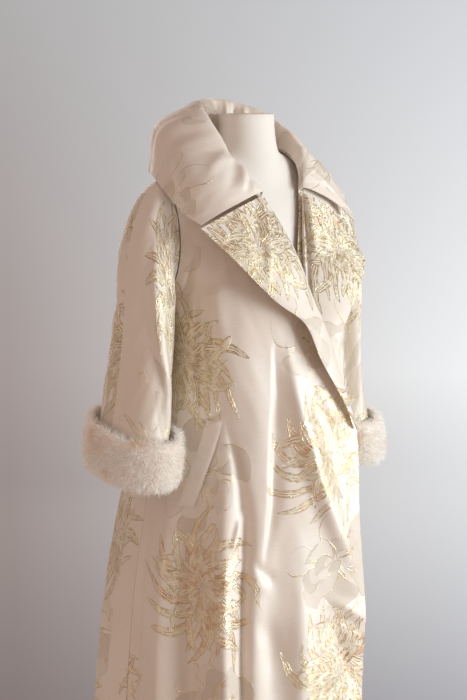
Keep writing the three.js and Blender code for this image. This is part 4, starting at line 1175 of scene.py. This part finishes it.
@dataclass
class Lapel(ClothPiece):
    """A turned lapel, from the roll line to its free edge."""

    table: Table = RIGHT_LAPEL
    side: int = -1
    step_back: float = 2.2

    def skin(self) -> Array:
        """Points of the face that shows."""
        u, v = np.meshgrid(np.linspace(0, 1, self.columns), np.linspace(0, 1, self.rows))
        roll = self.table.point("roll", v)
        edge = self.table.point("edge", v)
        puff = self.table.read("puff", v)
        width = np.linalg.norm(edge - roll, axis=-1)
        across = unit(edge - roll)
        start = roll + across * (7 * np.minimum(1, width / 60))[..., None]
        start[..., 1] += self.step_back
        b = roll - across * (0.55 * puff)[..., None]
        b[..., 1] -= 0.75 * puff
        c = mix(roll, edge, 0.5)
        c[..., 1] -= 1.1 * puff
        c[..., 2] += 9 * ramp(1 - v / 0.1)
        points = bezier(start, b, c, edge, u**1.25)
        z = v * 400
        height = crease_height(self.creases, u, z, np.full(u.shape, 130.0))
        return points + grid_normals(points) * (self.outward * height)[..., None]


@dataclass
class Collar(ClothPiece):
    """The wide portrait collar with its stand, from gorge to gorge."""

    def skin(self) -> Array:
        """Points of the face that shows, from the foot of the stand over the ridge to the edge."""
        u, v = np.meshgrid(np.linspace(0, 1, self.columns), np.linspace(0, 1, self.rows))
        knots = [COLLAR_TABLE.point(stem, u) for stem in ("foot", "ridge", "bend", "edge")]
        points = centripetal(knots, v)
        height = crease_height(self.creases, u, v * 190, np.full(u.shape, 900.0))
        wave = 0.9 * ripple(u * 900, v * 190, 11, 120) + 0.3 * ripple(u * 900, v * 190, 51, 48)
        height = 1.3 * height + wave * ramp(v / 0.2)
        return points + grid_normals(points) * (self.outward * height)[..., None]

    def cloth_places(self, points: Array) -> Array:
        """Places on the cut cloth; the collar is cut straight across."""
        places = super().cloth_places(points)
        u = np.linspace(0, 1, points.shape[1])
        places[..., 0] = mix(places[..., 0], (u * 0.9)[None, :] + self.pattern[0], 0.7)
        return places


def centripetal(knots: Sequence[Array], v: Array) -> Array:
    """Curve through four points with even tension, the same that the solid's collar follows.

    Args:
        knots: The four points, arrays of one shape.
        v: Share of the way, the same for each span.

    Returns:
        The points on the curve.
    """
    spans = v * 3
    span = np.clip(np.floor(spans).astype(int), 0, 2)
    t = np.clip(spans - span, 0, 1)[..., None]
    before = 2 * knots[0] - knots[1]
    after = 2 * knots[3] - knots[2]
    line = [before, *knots, after]
    total = np.zeros_like(knots[0])
    for k in range(3):
        p0, p1, p2, p3 = line[k : k + 4]
        d0, d1, d2 = (
            np.maximum(np.sum((b - a) ** 2, -1, keepdims=True), 1e-8) ** 0.25
            for a, b in ((p0, p1), (p1, p2), (p2, p3))
        )
        m1 = ((p1 - p0) / d0 - (p2 - p0) / (d0 + d1) + (p2 - p1) / d1) * d1
        m2 = ((p2 - p1) / d1 - (p3 - p1) / (d1 + d2) + (p3 - p2) / d2) * d1
        here = p1 * (2 * t**3 - 3 * t**2 + 1) + m1 * (t**3 - 2 * t**2 + t)
        here = here + p2 * (3 * t**2 - 2 * t**3) + m2 * (t**3 - t**2)
        total = np.where((span == k)[..., None], here, total)
    return total


@dataclass
class Sleeve(ClothPiece):
    """A set-in bracelet sleeve."""

    table: Table = RIGHT_SLEEVE
    side: int = -1

    def skin(self) -> Array:
        """Points of the outer face, round the arm by columns and down it by rows."""
        angle, v = np.meshgrid(np.linspace(0, 2 * math.pi, self.columns), np.linspace(0, 1, self.rows))
        cap = 0.36
        points = np.where((v < cap)[..., None], self.cap(angle, v / cap),
            self.tube(angle, (v - cap) / (1 - cap)))
        around = (angle / (2 * math.pi) + 0.5) % 1
        fade = ramp(v / 0.12)
        height = crease_height(self.creases, around, v * 500, np.full(v.shape, 380.0)) * fade
        wave = ripple(160 * np.cos(angle), v * 500 + 90 * np.sin(angle), 21 + self.side, 150)
        wave = 0.8 * wave + 0.3 * ripple(
            160 * np.cos(angle), v * 500 + 160 * np.sin(angle), 61 + self.side, 60)
        height = 1.2 * height + wave * fade * ramp((1 - v) / 0.1)
        return points + grid_normals(points, True) * (self.outward * height)[..., None]

    def tube(self, angle: Array, at: Array) -> Array:
        """Points below the cap."""
        at = np.clip(at, 0, 1)
        forward = self.table.read("depth", at) * np.sin(angle)
        return stack(
            self.side * (self.table.read("x", at) + self.table.read("across", at) * np.cos(angle)),
            self.table.read("y", at) - forward,
            self.table.read("z", at) - CUFF_TILT * at * forward,
        )

    def cap(self, angle: Array, share: Array) -> Array:
        """Points of the sleeve head, from the armhole to the tube."""
        high = (1 + np.cos(angle)) / 2
        start = armhole(self.side, angle)
        start[..., 0] += self.side * mix(2.6, 1.4, high)
        lead = start.copy()
        lead[..., 0] += self.side * mix(3, 34, high)
        lead[..., 2] -= mix(1, 6, high)
        end = self.tube(angle, np.zeros_like(angle))
        follow = end.copy()
        follow[..., 2] += mix(6, 120, high)
        return bezier(start, lead, follow, end, np.clip(share, 0, 1))


@dataclass
class PocketWelt(ClothPiece):
    """A slanted pocket welt laid on a front panel."""

    panel: FrontPanel | None = None
    top: tuple[float, float] = (0.65, 1040.0)
    foot: tuple[float, float] = (0.77, 890.0)
    width: float = 34.0
    lift: float = 1.9

    def skin(self) -> Array:
        """Points of the strip's outer face, softly rounded at its edges."""
        s, t = np.meshgrid(np.linspace(0, 1, self.columns), np.linspace(0, 1, self.rows))
        u = mix(self.top[0], self.foot[0], t) + (s - 0.5) * self.width / 400
        v = self.panel.row_at(u, mix(self.top[1], self.foot[1], t))
        points, normal = self.panel.skin_at(u, v)
        crown = 0.8 * np.sin(math.pi * s) ** 0.4 * np.sin(math.pi * t) ** 0.25
        return points + normal * (self.lift + self.thickness - 0.8 + crown)[..., None]

    def inner(self, outer: Array) -> Array:
        """Points of the strip's underside, flat over the panel."""
        return outer - self.outward * self.thickness * grid_normals(outer)


@dataclass
class FurCuff:
    """A turned-back fur band: a soft core with strands grown over it by Geometry Nodes."""

    side: Side
    table: Table
    finishes: Finishes
    height: float = 92.0
    depth: float = 20.0
    hair: float = 15.0
    strands: int = 21000
    seed: int = 3
    section: tuple[tuple[float, float], ...] = (
        (0.10, 0.10), (0.35, 0.06), (0.66, 0.14), (0.86, 0.36), (0.92, 0.62), (0.82, 0.84),
        (0.66, 0.93), (0.52, 0.86), (0.34, 0.58), (0.18, 0.28),
    )

    def core(self) -> tuple[Array, Array]:
        """Points of the core and the way its hair lies.

        Returns:
            Rings of points from the foot over the outside and back, and a direction for each.
        """
        around, rounds = 96, 40
        angle = np.linspace(0, 2 * math.pi, around, endpoint=False)
        marks = np.linspace(0, len(self.section), rounds, endpoint=False)
        section = np.array(self.section + self.section[:1])
        out = np.interp(marks, np.arange(len(section)), section[:, 0])
        up = np.interp(marks, np.arange(len(section)), section[:, 1])
        angle, out = np.meshgrid(angle, out)
        up = np.broadcast_to(up[:, None], out.shape)
        low, following = self.table.rows[-1], self.table.rows[-2]
        wobble = 1 + 0.05 * np.sin(3 * angle + self.seed) + 0.04 * np.sin(7 * angle + 2 * self.seed)
        rise = up * self.height / (following[3] - low[3])
        inward = np.maximum(0, -np.cos(angle))
        far = out * self.depth * wobble
        x = mix(low[1], following[1], rise)
        x = x + (low[4] + 1.7 + far * mix(1, 0.25, inward**2)) * np.cos(angle)
        y = mix(low[2], following[2], rise) - (low[5] + 1.7 + far) * np.sin(angle)
        top = up * self.height * (1 + 0.03 * np.sin(5 * angle + self.seed))
        points = stack(self.side.value * x, y, low[3] - 6 + top + CUFF_TILT * (y - low[2]))
        lies = stack(self.side.value * np.cos(angle), -np.sin(angle), np.where(up > 0.8, 1.1, -1.0))
        return points, unit(lies)

    def build(self) -> bpy.types.Object:
        """Grow the fur and return it as one plain mesh."""
        points, lies = self.core()
        rows, around = points.shape[:2]
        j, i = np.meshgrid(np.arange(rows), np.arange(around), indexing="ij")
        nj, ni = (j + 1) % rows, (i + 1) % around
        faces = np.stack([a.ravel() for a in (j * around + i, j * around + ni, nj * around + ni,
            nj * around + i)], -1)
        flat = points.reshape(-1, 3)
        if signed_volume(flat, faces) < 0:
            faces = faces[:, ::-1]
        made = mesh_object(f"fur_cuff_{self.side.word}_pile", flat, faces, self.finishes.fur_root)
        flow = made.data.attributes.new("hair_flow", "FLOAT_VECTOR", "POINT")
        flow.data.foreach_set("vector", lies.reshape(-1).astype(np.float32))
        area = sum(face.area for face in made.data.polygons)
        grow(made, fur_tree(), {
            "Density": self.strands / area, "Length": self.hair / 1000, "Width": 0.0011,
            "Seed": self.seed, "Fur": self.finishes.fur,
        })
        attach(made, "root")
        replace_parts(made, f"fur_cuff_{self.side.word}")
        LOG.info("%s: %d faces", made.name, len(made.data.polygons))
        return made


def grow(made: bpy.types.Object, tree: bpy.types.NodeTree, values: dict[str, Any]) -> None:
    """Run a Geometry Nodes tree on an object and keep the result as its plain mesh.

    Args:
        made: The object.
        tree: The tree.
        values: The tree's inputs by name.
    """
    modifier = made.modifiers.new("grow", "NODES")
    modifier.node_group = tree
    for item in tree.interface.items_tree:
        if item.item_type == "SOCKET" and item.in_out == "INPUT" and item.name in values:
            modifier[item.identifier] = values[item.name]
    bpy.context.view_layer.update()
    done = made.evaluated_get(bpy.context.evaluated_depsgraph_get())
    mesh = bpy.data.meshes.new_from_object(done)
    made.modifiers.clear()
    old = made.data
    made.data = mesh
    bpy.data.meshes.remove(old)


def fur_tree() -> bpy.types.NodeTree:
    """Geometry Nodes tree that grows curved, tapered strands over a surface.

    Returns:
        The tree, built once and used for both cuffs.
    """
    found = bpy.data.node_groups.get("fur_strands")
    if found:
        return found
    tree = bpy.data.node_groups.new("fur_strands", "GeometryNodeTree")
    tree.is_modifier = True
    sockets = (("Geometry", "Geometry"), ("Density", "Float"), ("Length", "Float"), ("Width", "Float"),
               ("Seed", "Int"), ("Fur", "Material"))
    for name, kind in sockets:
        tree.interface.new_socket(name, in_out="INPUT", socket_type=f"NodeSocket{kind}")
    tree.interface.new_socket("Geometry", in_out="OUTPUT", socket_type="NodeSocketGeometry")
    w = Wires(tree)
    take = w.node("NodeGroupInput").outputs
    blade = w.node("GeometryNodeMeshGrid", {"Size X": 1.0, "Size Y": 1.0, "Vertices X": 2, "Vertices Y": 4})
    place = w.node("ShaderNodeSeparateXYZ", {0: w.node("GeometryNodeInputPosition").outputs[0]}).outputs
    along = w.math("ADD", place[1], 0.5)
    taper = w.math("POWER", w.math("SUBTRACT", 1.04, along), 0.8)
    wide = w.math("MULTIPLY", w.math("MULTIPLY", place[0], take["Width"]), taper)
    lean = w.math("MULTIPLY", w.math("MULTIPLY", along, along), w.math("MULTIPLY", take["Length"], 0.45))
    high = w.math("MULTIPLY", w.math("MULTIPLY_ADD", w.math("MULTIPLY", along, along), -0.15, along),
        take["Length"])
    shaped = w.node("GeometryNodeSetPosition", {
        "Geometry": blade.outputs[0],
        "Position": w.node("ShaderNodeCombineXYZ", {0: wide, 1: lean, 2: high}).outputs[0],
    })
    marked = w.node("GeometryNodeStoreNamedAttribute", {"Geometry": shaped.outputs[0], "Name": "hair_along"},
                    data_type="FLOAT", domain="POINT")
    w.put([s for s in marked.inputs if s.name == "Value" and s.enabled][0], along)
    spread = w.node("GeometryNodeDistributePointsOnFaces", {
        "Mesh": take["Geometry"], "Density": take["Density"], "Seed": take["Seed"]},
        distribute_method="RANDOM")
    flow = w.node("GeometryNodeInputNamedAttribute", {"Name": "hair_flow"},
        data_type="FLOAT_VECTOR").outputs[0]
    chance = w.node("FunctionNodeRandomValue", {"Seed": w.math("ADD", take["Seed"], 1.0)},
        data_type="FLOAT_VECTOR")
    w.put(chance.inputs[0], (-0.45, -0.45, -0.45))
    w.put(chance.inputs[1], (0.45, 0.45, 0.45))
    clump = w.node("ShaderNodeTexNoise", {"Scale": 55.0, "Detail": 1.0}).outputs["Color"]
    clump = w.vector("MULTIPLY", w.vector("SUBTRACT", clump, (0.5, 0.5, 0.5)), (2.2, 2.2, 2.2))
    heading = w.vector("MULTIPLY_ADD", spread.outputs["Normal"], (1.25, 1.25, 1.25), flow)
    heading = w.vector("ADD", w.vector("ADD", heading, chance.outputs[0]), clump)
    spin = w.node("FunctionNodeRandomValue", {"Seed": w.math("ADD", take["Seed"], 2.0)}, data_type="FLOAT")
    w.put(spin.inputs[2], 0.0)
    w.put(spin.inputs[3], 2 * math.pi)
    turn = w.node("FunctionNodeAxisAngleToRotation", {"Axis": (0, 0, 1), "Angle": spin.outputs[1]}).outputs[0]
    turn = w.node("FunctionNodeAlignRotationToVector", {"Rotation": turn, "Vector": heading},
        axis="Z").outputs[0]
    size = w.node("FunctionNodeRandomValue", {"Seed": w.math("ADD", take["Seed"], 3.0)}, data_type="FLOAT")
    w.put(size.inputs[2], 0.55)
    w.put(size.inputs[3], 1.1)
    placed = w.node("GeometryNodeInstanceOnPoints", {
        "Points": spread.outputs["Points"], "Instance": marked.outputs[0], "Rotation": turn,
        "Scale": w.node("ShaderNodeCombineXYZ", {0: 1.0, 1: size.outputs[1], 2: size.outputs[1]}).outputs[0],
    })
    real = w.node("GeometryNodeRealizeInstances", {0: placed.outputs[0]})
    dressed = w.node("GeometryNodeSetMaterial", {"Geometry": real.outputs[0], "Material": take["Fur"]})
    joined = w.node("GeometryNodeJoinGeometry")
    tree.links.new(dressed.outputs[0], joined.inputs[0])
    tree.links.new(take["Geometry"], joined.inputs[0])
    w.node("NodeGroupOutput", {0: joined.outputs[0]})
    return tree


@dataclass
class DressForm:
    """The limbless form that the coat rests on, with its pole and base."""

    finishes: Finishes
    around: int = 96
    steps: int = 104
    inset: float = 0.6

    def torso(self) -> bpy.types.Object:
        """Build the torso and neck as one smooth closed skin."""
        at, angle = np.linspace(0, 1, self.steps), np.linspace(0, 2 * math.pi, self.around, endpoint=False)
        angle, at = np.meshgrid(angle, at)
        front = np.sin(angle) < 0
        depth = np.where(front, FORM_TABLE.read("front", at), FORM_TABLE.read("back", at))
        middle = np.where(front, FORM_TABLE.read("frontZ", at), FORM_TABLE.read("backZ", at))
        side = FORM_TABLE.read("side", at)
        points = stack(
            (side - self.inset) * np.cos(angle), (depth - self.inset) * np.sin(angle),
            mix(middle, FORM_TABLE.read("sideZ", at), np.cos(angle) ** 2),
        )
        made = self.closed("form_torso_cover", points, self.finishes.cover)
        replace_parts(made, "form_torso")
        return made

    def closed(self, name: str, rings: Array, material: bpy.types.Material) -> bpy.types.Object:
        """Closed skin from rings of points, with a flat end on the first and last ring."""
        rows, around = rings.shape[:2]
        j, i = np.meshgrid(np.arange(rows - 1), np.arange(around), indexing="ij")
        a, b = (j * around + i).ravel(), (j * around + (i + 1) % around).ravel()
        faces = np.stack([a, b, b + around, a + around], -1)
        points = rings.reshape(-1, 3)
        if signed_volume(points, faces) < 0:
            faces = faces[:, ::-1]
            ends = [list(range(around)), list(range(rows * around - 1, (rows - 1) * around - 1, -1))]
        else:
            ends = [list(range(around - 1, -1, -1)), list(range((rows - 1) * around, rows * around))]
        mesh = bpy.data.meshes.new(name)
        mesh.from_pydata((points / 1000).tolist(), [], faces.tolist() + ends)
        mesh.materials.append(material)
        mesh.polygons.foreach_set("use_smooth", [True] * len(mesh.polygons))
        mesh.set_sharp_from_angle(angle=math.radians(40))
        made = bpy.data.objects.new(name, mesh)
        bpy.context.scene.collection.objects.link(made)
        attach(made, "root")
        LOG.info("%s: %d faces", name, len(mesh.polygons))
        return made

    def turned(self, name: str, profile: Sequence[tuple[float, float]], node: str) -> bpy.types.Object:
        """Build a turned metal part and let it stand for its node.

        Args:
            name: Name of the piece.
            profile: Radius and height of each ring.
            node: The node it replaces.

        Returns:
            The piece.
        """
        angle = np.linspace(0, 2 * math.pi, self.around, endpoint=False)
        rings = np.stack([stack(r * np.cos(angle), r * np.sin(angle), z) for r, z in profile])
        made = self.closed(name, rings, self.finishes.stand)
        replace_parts(made, node)
        return made

    def build(self) -> None:
        """Build the torso, pole and base."""
        self.torso()
        self.turned("form_pole_turned", [
            (14, 22.3), (14, 60), (17, 61), (17, 84), (14, 85), (14, 640), (13.6, 641), (13.6, 643),
            (14, 644), (14, 845.7),
        ], "form_pole")
        self.turned("form_base_turned", [
            (186, 0), (189, 1), (190, 3), (190, 7), (188.5, 9.6), (184, 12.4), (176, 14.4), (120, 18),
            (60, 21),
            (40, 21.9), (30, 22),
        ], "form_base")


@dataclass
class Studio:
    """Camera, soft window light and a pale floor that glows with painted light and shade."""

    azimuth: float = -41.0
    distance: float = 2.9
    eye: float = 1.59
    pitch: float = -8.94
    lens: float = 82.85
    pan: float = 0.551
    # Painted light and shade of the wall: the shaded warm side from bottom to top, then the lit cool side
    # from bottom to top.
    paint: tuple[Colour, ...] = (
        shade(0.17, 0.14, 0.135), shade(0.30, 0.262, 0.255), shade(0.345, 0.343, 0.347),
        shade(0.30, 0.305, 0.33), shade(0.72, 0.75, 0.77), shade(0.53, 0.555, 0.585),
    )

    def build(self) -> None:
        """Place the camera, lights, world and floor."""
        scene = bpy.context.scene
        turn = math.radians(self.azimuth)
        camera = bpy.data.objects.new("camera", bpy.data.cameras.new("camera"))
        camera.data.lens = self.lens
        camera.data.sensor_width = 36.0
        camera.data.clip_end = 100.0
        camera.location = (math.sin(turn) * self.distance, -math.cos(turn) * self.distance, self.eye)
        camera.rotation_euler = (math.radians(90 + self.pitch), 0, turn + math.radians(self.pan))
        scene.collection.objects.link(camera)
        scene.camera = camera
        right = np.array([math.cos(turn), math.sin(turn), 0])
        ahead = np.array([-math.sin(turn), math.cos(turn), 0])
        up = np.array([0, 0, 1.0])
        target = np.array([0, 0, 1.1])
        self.area("window", right * 2.9 - ahead * 0.9 + up * 1.25, target, 1.6, 107, (0.85, 0.96, 1.0))
        self.area("bounce", -right * 2.2 - ahead * 2.6 + up * 1.4, target, 2.6, 13, (1.0, 0.80, 0.70))
        self.area("rear", ahead * 3.2 - right * 0.8 + up * 1.9, target, 2.4, 26, (1.0, 0.96, 0.92))
        world = bpy.data.worlds.new("room")
        world.use_nodes = True
        world.node_tree.nodes["Background"].inputs[0].default_value = (0.52, 0.405, 0.345, 1)
        world.node_tree.nodes["Background"].inputs[1].default_value = 0.8
        scene.world = world
        scene.view_settings.view_transform = "Standard"
        self.backdrop(right, ahead)

    def area(self, name: str, at: Array, target: Array, size: float, watts: float,
             colour: tuple[float, float, float]) -> None:
        """Add one soft light that looks at the coat."""
        lamp = bpy.data.lights.new(name, "AREA")
        lamp.shape = "SQUARE"
        lamp.size = size
        lamp.energy = watts
        lamp.color = colour
        made = bpy.data.objects.new(name, lamp)
        made.location = at
        made.rotation_euler = Vector(target - at).to_track_quat("-Z", "Y").to_euler()
        bpy.context.scene.collection.objects.link(made)

    def backdrop(self, right: Array, ahead: Array) -> None:
        """Add the pale floor, which curves up into a plain wall all round and glows with painted light and
        shade.

        Args:
            right: Direction that the painted light on the wall grows paler in.
            ahead: Direction that the camera looks in.
        """
        around = 96
        angle = np.linspace(0, 2 * math.pi, around, endpoint=False)
        bend = np.linspace(0, math.pi / 2, 16)
        profile = [(0.01, 0.0), (3.0, 0.0), (5.0, 0.0)]
        profile += [(5.0 + 2.5 * math.sin(t), 2.5 - 2.5 * math.cos(t)) for t in bend[1:]] + [(7.5, 9.0)]
        points = np.concatenate([stack(r * np.cos(angle), r * np.sin(angle), z) for r, z in profile])
        j, i = np.meshgrid(np.arange(len(profile) - 1), np.arange(around), indexing="ij")
        a, b = (j * around + i).ravel(), (j * around + (i + 1) % around).ravel()
        faces = np.stack([a, b, b + around, a + around], -1)
        made = mesh_object("floor", points * 1000, faces, self.backdrop_painted_light(right, ahead))
        made.visible_diffuse = made.visible_glossy = made.visible_shadow = False

    def backdrop_painted_light(self, right: Array, ahead: Array) -> bpy.types.Material:
        """Glowing colour of painted light and shade, over a weak matt part: darker towards the bottom, warm
        grey at the shaded side of the room and cool and pale at the lit side.
        """
        made = bpy.data.materials.new("backdrop_painted_light")
        made.use_nodes = True
        made.node_tree.nodes.clear()
        w = Wires(made.node_tree)
        place = w.node("ShaderNodeTexCoord").outputs["Object"]
        turn = math.radians(self.azimuth)
        post = (math.sin(turn) * self.distance, -math.cos(turn) * self.distance, self.eye)
        away = w.vector("SUBTRACT", place, post)
        level = w.vector("MULTIPLY", away, (1.0, 1.0, 0.0))
        far = w.math("MAXIMUM", w.vector("LENGTH", level), 3.0)
        dot = w.node("ShaderNodeVectorMath", {0: away, 1: tuple(right)},
            operation="DOT_PRODUCT").outputs["Value"]
        across = w.math("DIVIDE", dot, far)
        high = w.math("DIVIDE", w.node("ShaderNodeSeparateXYZ", {0: away}).outputs[2], far)
        # Painted shade: the wall and floor grow darker towards the bottom.
        low, top = w.span(high, -0.40, -0.17), w.span(high, -0.17, 0.06)
        shaded_side = w.tint(top, w.tint(low, self.paint[0], self.paint[1]), self.paint[2])
        lit_side = w.tint(top, w.tint(low, self.paint[3], self.paint[4]), self.paint[5])
        seen = w.node("ShaderNodeVectorMath", {0: away, 1: tuple(ahead)},
            operation="DOT_PRODUCT").outputs["Value"]
        # Painted light: paler and cooler towards the window's side of the room, warm and shaded on the other.
        colour = w.tint(w.span(across, -0.15, 0.15), shaded_side, lit_side)
        # Away from the camera's line of sight the painted light and shade give way to an even grey.
        colour = w.tint(w.span(w.math("DIVIDE", seen, far), 0.92, 0.985), shade(0.44, 0.43, 0.43), colour)
        # The glow stands in for light falling on the wall; a weak matt part still takes the lamps.
        glow = w.node("ShaderNodeEmission", {"Color": colour, "Strength": 1.1})
        paint = w.node("ShaderNodeBsdfDiffuse", {"Color": w.tint(0.65, colour, shade(0, 0, 0))})
        both = w.node("ShaderNodeAddShader", {0: glow.outputs[0], 1: paint.outputs[0]})
        w.node("ShaderNodeOutputMaterial", {0: both.outputs[0]})
        return made


@dataclass
class Coat:
    """The coat's cloth and fur, built in order."""

    finishes: Finishes

    def fronts(self) -> None:
        """Build both fronts and the welts that lie on them."""
        cuts = {Side.RIGHT: ((0.535, 1.38), 0.532), Side.LEFT: ((0.445, 1.35), 0.435)}
        for side, table, folds, creases in (
            (Side.RIGHT, RIGHT_EDGE, RIGHT_FOLDS, RIGHT_CREASES),
            (Side.LEFT, LEFT_EDGE, LEFT_FOLDS, LEFT_CREASES),
        ):
            node = f"front_{side.word}"
            panel = FrontPanel(
                name=f"{node}_brocade", material=self.finishes.brocade, columns=141, rows=221,
                outward=-side.value,
                held="hung", rests_on=("form_torso_cover",), flat=cuts[side][0], flat_area=cuts[side][1],
                table=table, side=side.value, folds=folds, creases=creases, seed=2 + side.value,
                pattern=(0.14, 0.0),
            )
            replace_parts(panel.build(), node)
            welt = PocketWelt(
                name=f"pocket_welt_{side.word}_brocade", material=self.finishes.brocade, columns=9, rows=41,
                outward=-side.value, held="laid", rests_on=(panel.name,), flat=(0.03, 0.16), flat_area=0.0045,
                panel=panel,
            )
            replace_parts(welt.build(), f"pocket_welt_{side.word}")

    def back(self) -> None:
        """Build the back."""
        panel = BackPanel(
            name="back_brocade", material=self.finishes.brocade, columns=191, rows=171, outward=1,
            held="hung",
            rests_on=("form_torso_cover",), flat=(0.925, 1.335), flat_area=0.86, pattern=(0.10, 0.05),
            creases=BACK_CREASES,
        )
        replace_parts(panel.build(), "back")

    def lapels(self) -> None:
        """Build both lapels."""
        cuts = {Side.RIGHT: ((0.155, 0.46), 0.035), Side.LEFT: ((0.145, 0.365), 0.0325)}
        for side, table, step in ((Side.RIGHT, RIGHT_LAPEL, 2.2), (Side.LEFT, LEFT_LAPEL, 2.75)):
            node = f"lapel_{side.word}"
            lapel = Lapel(
                name=f"{node}_brocade", material=self.finishes.brocade, columns=61, rows=121,
                outward=-side.value,
                held="folded", rests_on=(f"front_{side.word}_brocade",), flat=cuts[side][0],
                flat_area=cuts[side][1],
                table=table, side=side.value, step_back=step, pattern=(0.05, 0.12),
                creases=RIGHT_LAPEL_CREASES if side is Side.RIGHT else LEFT_LAPEL_CREASES,
            )
            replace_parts(lapel.build(), node)

    def collar(self) -> None:
        """Build the collar."""
        collar = Collar(
            name="collar_brocade", material=self.finishes.collar, columns=181, rows=61, outward=1,
            held="folded",
            rests_on=("back_brocade",), flat=(0.81, 0.285), flat_area=0.142, pattern=(0.0, 0.05),
            creases=COLLAR_CREASES,
        )
        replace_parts(collar.build(), "collar")

    def sleeves(self) -> None:
        """Build both sleeves and their fur cuffs."""
        cuts = {Side.RIGHT: ((0.485, 0.53), 0.158), Side.LEFT: ((0.485, 0.575), 0.165)}
        for side, table in ((Side.RIGHT, RIGHT_SLEEVE), (Side.LEFT, LEFT_SLEEVE)):
            node = f"sleeve_{side.word}"
            sleeve = Sleeve(
                name=f"{node}_brocade", material=self.finishes.brocade, columns=121, rows=121,
                outward=side.value,
                held="hung", rests_on=(f"front_{side.word}_brocade", "back_brocade"), flat=cuts[side][0],
                flat_area=cuts[side][1], closed=True,
                table=table, side=side.value, pattern=(0.0, 0.1),
                creases=RIGHT_SLEEVE_CREASES if side is Side.RIGHT else LEFT_SLEEVE_CREASES,
            )
            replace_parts(sleeve.build(), node)
            FurCuff(side, table, self.finishes, seed=3 + side.value).build()

    def build(self) -> None:
        """Build every piece."""
        for step in (self.fronts, self.back, self.lapels, self.collar, self.sleeves):
            step()


def main() -> None:
    """Build the part and its studio."""
    logging.basicConfig(level=logging.INFO, format="%(message)s")
    finishes = Finishes()
    Studio().build()
    DressForm(finishes).build()
    Coat(finishes).build()


if __name__ == "__main__":
    main()
